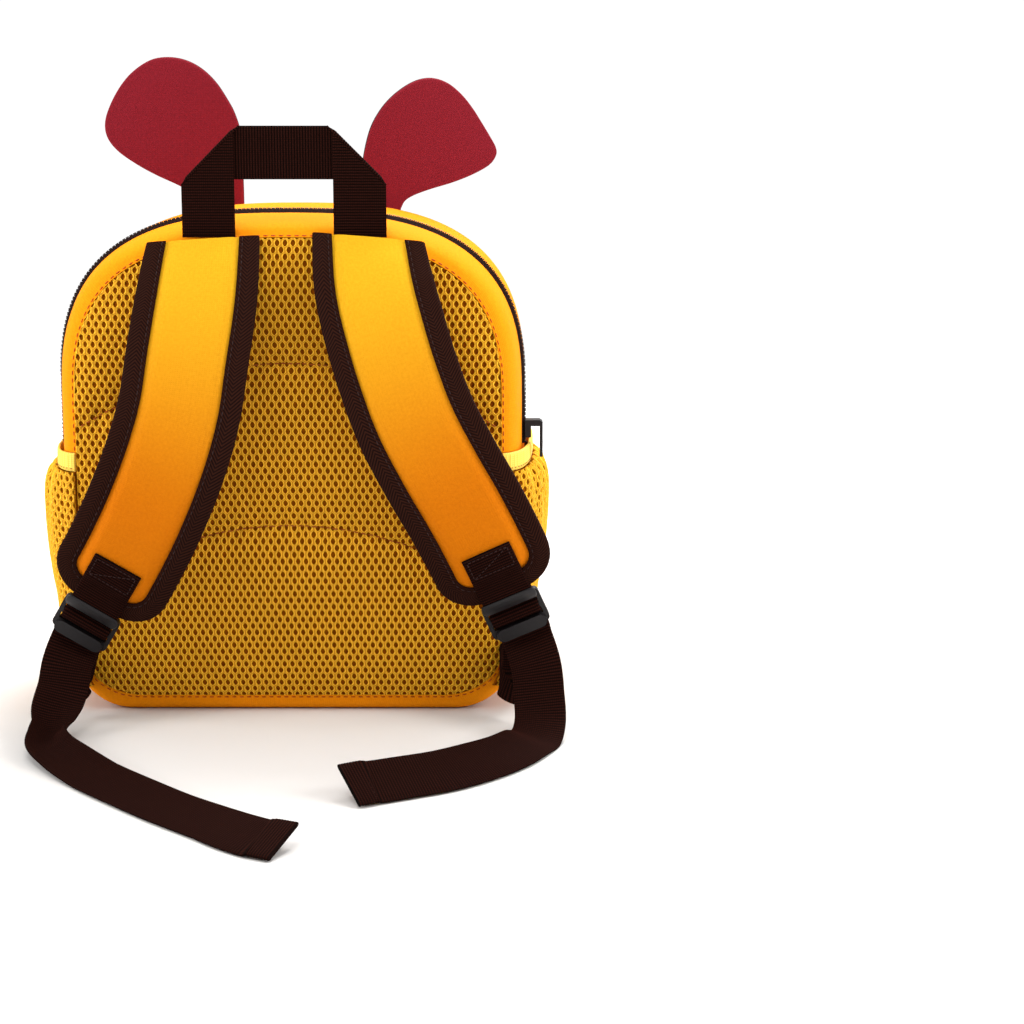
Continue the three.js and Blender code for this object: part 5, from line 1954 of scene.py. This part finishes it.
        # Distance past the strap's end and height over its middle
        rows = np.array([
            (-26, over_pad), (-20, over_pad), (-14.5, over_pad - 0.05), (-11, over_tape + 0.15),
            (-5, over_tape), (0.9, over_tape), (3.2, over_bar + 0.35), (bar_end - turn, over_bar),
            (bar_end - slope, over_bar - slope), (bar_end, over_bar - turn), (bar_end, turn - over_bar),
            (bar_end - slope, slope - over_bar), (bar_end - turn, -over_bar), (0.6, -over_bar),
        ])
        length = self.route.length
        centres = self.route.point(length + rows[:, 0], np.zeros(len(rows)), rows[:, 1])
        _, _, side = self.route.frame(length + rows[:, 0])
        name = f"buckle_webbing_{self.label}_loop"
        loop = Webbing(self.wardrobe).strip(name, centres, side)
        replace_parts(loop, f"buckle_webbing_{self.label}")
        box = Piece(f"buckle_webbing_{self.label}_stitches", Slot.WEBBING)
        corners = np.array([(-24.5, -10), (-24.5, 10), (-15.5, 10), (-15.5, -10), (-24.5, -10), (-15.5, 10)])
        for a, b in zip(corners[:-1], corners[1:]):
            t = np.linspace(0, 1, 20)[:, None]
            line = a + (b - a) * t
            path = self.route.point(length + line[:, 0], line[:, 1], np.full(20, over_pad + half + 0.1))
            _, normal, _ = self.route.frame(length + line[:, 0])
            StitchRow(pitch=2.2, length=1.6, radius=0.2).sew(box, path, normal, lift=0.05)
        box.make([self.wardrobe.dark_thread])

    def adjuster(self) -> None:
        """Run the adjusting webbing from the base corner through the buckle to its free tail."""
        # Distance past the strap's end and height over its middle, from behind round both bars
        rows = np.array([
            (26, -5.9), (18, -5.3), (14, -4.8), (10.6, -3.5), (9, -1.8), (8.6, 0), (8.9, 1.5), (10, 2.45),
            (11.6, 2.7), (13.2, 2.35), (14.2, 1.1), (14.3, -0.4), (14.6, -1.8), (15.7, -2.8), (17.6, -3.1),
            (23, -3.2),
        ])
        length = self.route.length
        threaded = self.route.point(length + rows[:, 0], np.zeros(len(rows)), rows[:, 1])
        buckle_side = self.route.frame(np.array([length]))[2][0]
        seam = np.array([self.side * (BODY.half_width - BODY.rows[0][1]), BODY.back - 0.5, self.anchor_up])
        upright = np.array([0, 0, -float(self.side)])
        clear = seam + np.array([0, -7.0, 0])
        centres = [seam]
        across = [upright]
        for share in (0, 0.3, 0.55, 0.8):
            hang = np.array([0.45 * self.side, -0.35, -1.0]) * 4 * self.sag * share * (1 - share)
            centres.append(clear + (threaded[0] - clear) * share + hang)
            across.append(unit(upright + (buckle_side - upright) * share))
        centres += list(threaded)
        across += [buckle_side] * len(threaded)
        for share_x, share_y, up, turn, lift in self.tail:
            a, b = math.radians(turn), math.radians(lift)
            lying = self.webbing_half * abs(math.sin(b)) + self.webbing_half_thick * math.cos(b) + SEAM_GAP
            z = up * self.drop if up else lying
            centres.append(np.array([share_x * BODY.half_width, BODY.back - share_y * self.tail_reach, z]))
            across.append(np.array([math.cos(a) * math.cos(b), math.sin(a) * math.cos(b), math.sin(b)]))
        first = len(centres) - len(self.tail)
        # The folded end lies before the tip, with a short step up to it
        tip, end_across = centres.pop(), across.pop()
        extra = [0.0] * len(centres) + [self.hem_extra] * 2
        ahead = unit(tip - centres[-1])
        hem_start = centres[-1] + ahead * self.hem_step
        rise = np.array([0, 0, self.hem_extra / 2])
        centres += [hem_start + rise, tip + rise]
        across += [across[-1], end_across]
        cup = np.zeros(len(centres))
        for number, angle in self.curls:
            cup[first + number] = math.radians(angle)
        name = f"adjuster_{self.label}_webbing"
        strip = Webbing(self.wardrobe).strip(name, np.array(centres), np.array(across), np.array(extra), cup)
        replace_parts(strip, f"adjuster_{self.label}")
        self.hem_stitches(hem_start + ahead * self.hem_step, across[-2], ahead)

    def hem_stitches(self, place: Array, across: Array, ahead: Array) -> None:
        """Sew the tail's folded end down across its width.

        Args:
            place: middle of the seam.
            across: direction of the width.
            ahead: direction of the length.
        """
        up = unit(np.cross(ahead, across))
        up = up if up[2] > 0 else -up
        shares = np.linspace(-10.5, 10.5, 20)[:, None]
        path = place + unit(across) * shares + up * (self.webbing_half_thick + self.hem_extra / 2)
        out = np.broadcast_to(up, path.shape)
        thread = Piece(f"adjuster_{self.label}_hem_stitches", Slot.WEBBING)
        StitchRow(pitch=2.4, length=1.7, radius=0.2).sew(thread, path, out, lift=0.1)
        thread.make([self.wardrobe.dark_thread])

    def buckle(self) -> None:
        """Round the ladder-lock's edges, give it its plastic and cover its top bar with its face plate."""
        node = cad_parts[f"ladder_lock_{self.label}"]
        soften(node, 0.55)
        node.data.materials.clear()
        node.data.materials.append(self.wardrobe.plastic)
        # Distance past the strap's end, height and half width of the face plate, which bows between its ends
        rows = np.array([(-0.4, 5.3), (0.8, 5.2), (2.0, 4.9), (3.2, 4.5), (4.4, 4.1), (5.6, 3.8)])
        half = np.array([12.4, 13.2, 13.5, 13.5, 13.2, 12.6])
        shares = np.array([-1, -0.97, -0.5, 0, 0.5, 0.97, 1.0])
        ends = np.array([0.55, 1, 1, 1, 1, 1, 0.55])
        ridge = np.array([0.6, 1.15, 0.95, 1.2, 0.95, 0.7])
        s = np.repeat(self.route.length + rows[:, :1], len(shares), axis=1)
        across = half[:, None] * shares
        outer = self.route.point(s, across, rows[:, 1:] + ridge[:, None] * ends)
        inner = self.route.point(s, across, np.repeat(rows[:, 1:], len(shares), axis=1))
        plate = Piece(f"ladder_lock_{self.label}_plate", Slot.PLASTIC)
        plate.sheet(outer, inner, np.stack([across, s], axis=-1))
        plate.make([self.wardrobe.plastic], sharp=50)

    def build(self) -> None:
        """Build the whole strap."""
        self.layers()
        self.binding()
        self.buckle_loop()
        self.adjuster()
        self.buckle()


# Rows of a strap's middle line: shares across, out and up
LEFT_ROUTE = (
    (-0.333, 0.102, 1.0), (-0.352, 0.476, 0.8821), (-0.3813, 0.738, 0.7729), (-0.4125, 0.905, 0.6681),
    (-0.4732, 0.976, 0.5677), (-0.5714, 0.929, 0.4541), (-0.6741, 0.821, 0.3581), (-0.7902, 0.667, 0.2642),
)
RIGHT_ROUTE = (
    (0.3509, 0.102, 1.0), (0.3813, 0.452, 0.9039), (0.433, 0.69, 0.8122), (0.4839, 0.833, 0.7358),
    (0.5536, 0.952, 0.6485), (0.6536, 1.0, 0.5546), (0.7545, 0.952, 0.4651), (0.8393, 0.857, 0.3799),
    (0.9196, 0.714, 0.2882),
)
# Rows of a tail: shares across, out and up, then heading and tilt of the width in degrees
LEFT_TAIL = (
    (-0.9268, 0.125, 1.0, 178, 22), (-0.9429, 0.1495, 0.645, 180, 10), (-0.966, 0.1814, 0.323, 188, 3),
    (-0.968, 0.223, 0.116, 196, -2), (-0.963, 0.2843, 0, 200, -5), (-0.925, 0.3676, 0, 204, -9),
    (-0.8214, 0.4559, 0, 212, -12), (-0.6875, 0.5539, 0, 220, -13), (-0.5179, 0.6618, 0, 223, -13),
    (-0.3304, 0.7745, 0, 222, -13), (-0.1518, 0.8725, 0, 226, -15), (-0.0536, 0.9314, 0, 232, -18),
    (0.0321, 0.9716, 0, 239, -20), (0.1286, 1.0, 0, 243, -21),
)
# Rows of the tail where the webbing curls as it turns onto the floor, in degrees
LEFT_CURLS = ((2, -70), (3, -150), (4, -170), (5, -105), (6, -40))
RIGHT_TAIL = (
    (1.0446, 0.2122, 1.0, 178, -18), (1.058, 0.259, 0.581, 176, -8), (1.0625, 0.3165, 0.274, 174, 4),
    (1.0446, 0.3957, 0, 166, 12), (1.0, 0.4964, 0, 154, 20), (0.9286, 0.6115, 0, 144, 24),
    (0.8214, 0.7266, 0, 132, 28), (0.6786, 0.8345, 0, 122, 30), (0.5268, 0.9065, 0, 117, 31),
    (0.4107, 0.9568, 0, 118, 32), (0.3214, 1.0, 0, 121, 32),
)


@dataclass(frozen=True)
class FloorPaint(Finish):
    """Matt white wall paint, rolled: hardly any gloss and a barely uneven tone.

    It is less white in the middle, as painted shade that evens out the lamps' brighter pool there and deepens
    the shade under the bag, so that the open floor looks even.
    """

    patch: float = 60.0
    near: float = 0.1
    far: float = 1.1

    def dress(self, tree: Tree, shader: Node) -> None:
        """Draw the roller's faint patches and the painted shade that darkens the floor towards its middle.

        Args:
            tree: the material's node tree.
            shader: the node to dress.
        """
        where = add_node(tree, "ShaderNodeTexCoord").outputs["Object"]
        grain = add_node(tree, "ShaderNodeTexNoise", {"Vector": where, "Scale": per_metre(self.patch)})
        away = add_node(tree, "ShaderNodeVectorMath", {0: where}, operation="LENGTH")
        # Painted shade: the paint darkens from the edge towards the middle, where the bag stands
        share = add_node(tree, "ShaderNodeMapRange", {
            "Value": away.outputs["Value"], "From Min": self.near, "From Max": self.far,
        })
        patches_and_painted_shade = add_node(tree, "ShaderNodeMath", {
            0: grain.outputs["Fac"], 1: 0.02, 2: share.outputs["Result"],
        }, operation="MULTIPLY_ADD", use_clamp=True)
        self.tint(tree, shader, patches_and_painted_shade.outputs["Value"])


@dataclass
class Studio:
    """Pale floor, soft lights and the camera at the photograph's angle."""

    eye: tuple[float, float, float] = (0.1058, -1.1514, 0.3238)
    pitch: float = -0.2019
    focal_pixels: float = 2357.5
    frame_pixels: float = 1024.0
    sensor: float = 36.0
    horizon: float = 1.04
    sky: float = 0.34
    floor_radius: float = 1.15
    floor_sides: int = 96

    def floor(self) -> None:
        """Lay the floor."""
        mesh = bpy.data.meshes.new("studio_floor")
        angles = [2 * math.pi * i / self.floor_sides for i in range(self.floor_sides)]
        corners = [(self.floor_radius * math.cos(a), self.floor_radius * math.sin(a), 0) for a in angles]
        mesh.from_pydata(corners, [], [list(range(self.floor_sides))])
        floor = bpy.data.objects.new("studio_floor", mesh)
        bpy.context.scene.collection.objects.link(floor)
        # The darker colour is reached in the middle, as painted shade under the bag
        mesh.materials.append(FloorPaint("white_floor_paint", "#FFFFFF", "#CAC7C4", 0.9, 0.1).make())

    def light(self, name: str, place: tuple, target: tuple, size: float, power: float) -> None:
        """Hang one soft square light.

        Args:
            name: the light's name.
            place: where it hangs.
            target: what it points at.
            size: its side in metres.
            power: its power in watts.
        """
        lamp = bpy.data.lights.new(name, "AREA")
        lamp.size = size
        lamp.energy = power
        thing = bpy.data.objects.new(name, lamp)
        thing.location = place
        thing.rotation_euler = (Vector(target) - Vector(place)).to_track_quat("-Z", "Y").to_euler()
        bpy.context.scene.collection.objects.link(thing)

    def surroundings(self) -> None:
        """Make the room white at the horizon and dimmer overhead."""
        world = bpy.data.worlds.new("studio_world")
        world.use_nodes = True
        tree = world.node_tree
        direction = add_node(tree, "ShaderNodeTexCoord").outputs["Generated"]
        parts = add_node(tree, "ShaderNodeSeparateXYZ", {"Vector": direction})
        level = add_node(tree, "ShaderNodeMapRange", {
            "Value": parts.outputs["Z"], "From Min": 0.03, "From Max": 0.3,
            "To Min": self.horizon, "To Max": self.sky,
        }, interpolation_type="SMOOTHSTEP")
        background = tree.nodes["Background"]
        background.inputs["Color"].default_value = (1, 1, 1, 1)
        tree.links.new(level.outputs["Result"], background.inputs["Strength"])
        bpy.context.scene.world = world

    def build(self) -> None:
        """Set up floor, lights, surroundings and camera."""
        self.floor()
        self.light("ceiling_light", (0, -0.2, 3.2), (0, -0.2, 0), 5.0, 80)
        self.light("key_light", (-0.25, -0.85, 2.0), (0, 0, 0.1), 0.7, 11)
        self.light("left_light", (-1.6, -0.45, 0.9), (0, 0, 0.15), 0.9, 24)
        self.light("right_light", (1.6, -0.45, 1.0), (0, 0, 0.15), 0.9, 24)
        self.light("back_light", (0.35, 1.0, 1.7), (0, 0, 0.15), 1.0, 48)
        self.surroundings()
        bpy.context.scene.view_settings.view_transform = "Standard"
        camera_data = bpy.data.cameras.new("camera")
        camera_data.sensor_width = self.sensor
        camera_data.lens = self.sensor * self.focal_pixels / self.frame_pixels
        camera = bpy.data.objects.new("camera", camera_data)
        camera.location = self.eye
        camera.rotation_euler = (math.pi / 2 + self.pitch, 0, 0)
        bpy.context.scene.collection.objects.link(camera)
        bpy.context.scene.camera = camera


def main() -> None:
    """Build the studio and every part of the bag."""
    logging.basicConfig(level=logging.INFO, format="%(message)s")
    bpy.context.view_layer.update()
    Studio().build()
    wardrobe = Wardrobe()
    shell = Shell(wardrobe)
    shell.walls()
    shell.front_panel()
    BackPanel(wardrobe).build()
    Zip(wardrobe).build()
    pocket = SidePocket(wardrobe)
    pocket.build(-1, "left")
    pocket.build(1, "right")
    Ears(wardrobe).build()
    GrabHandle(wardrobe).build()
    left, right = StrapRoute(LEFT_ROUTE, 1.7, 4.0), StrapRoute(RIGHT_ROUTE, 0.8, -6.8)
    ShoulderStrap(wardrobe, "left", left, LEFT_TAIL, 204.0, -1, curls=LEFT_CURLS).build()
    ShoulderStrap(wardrobe, "right", right, RIGHT_TAIL, 139.0, 1).build()


if __name__ == "__main__":
    main()
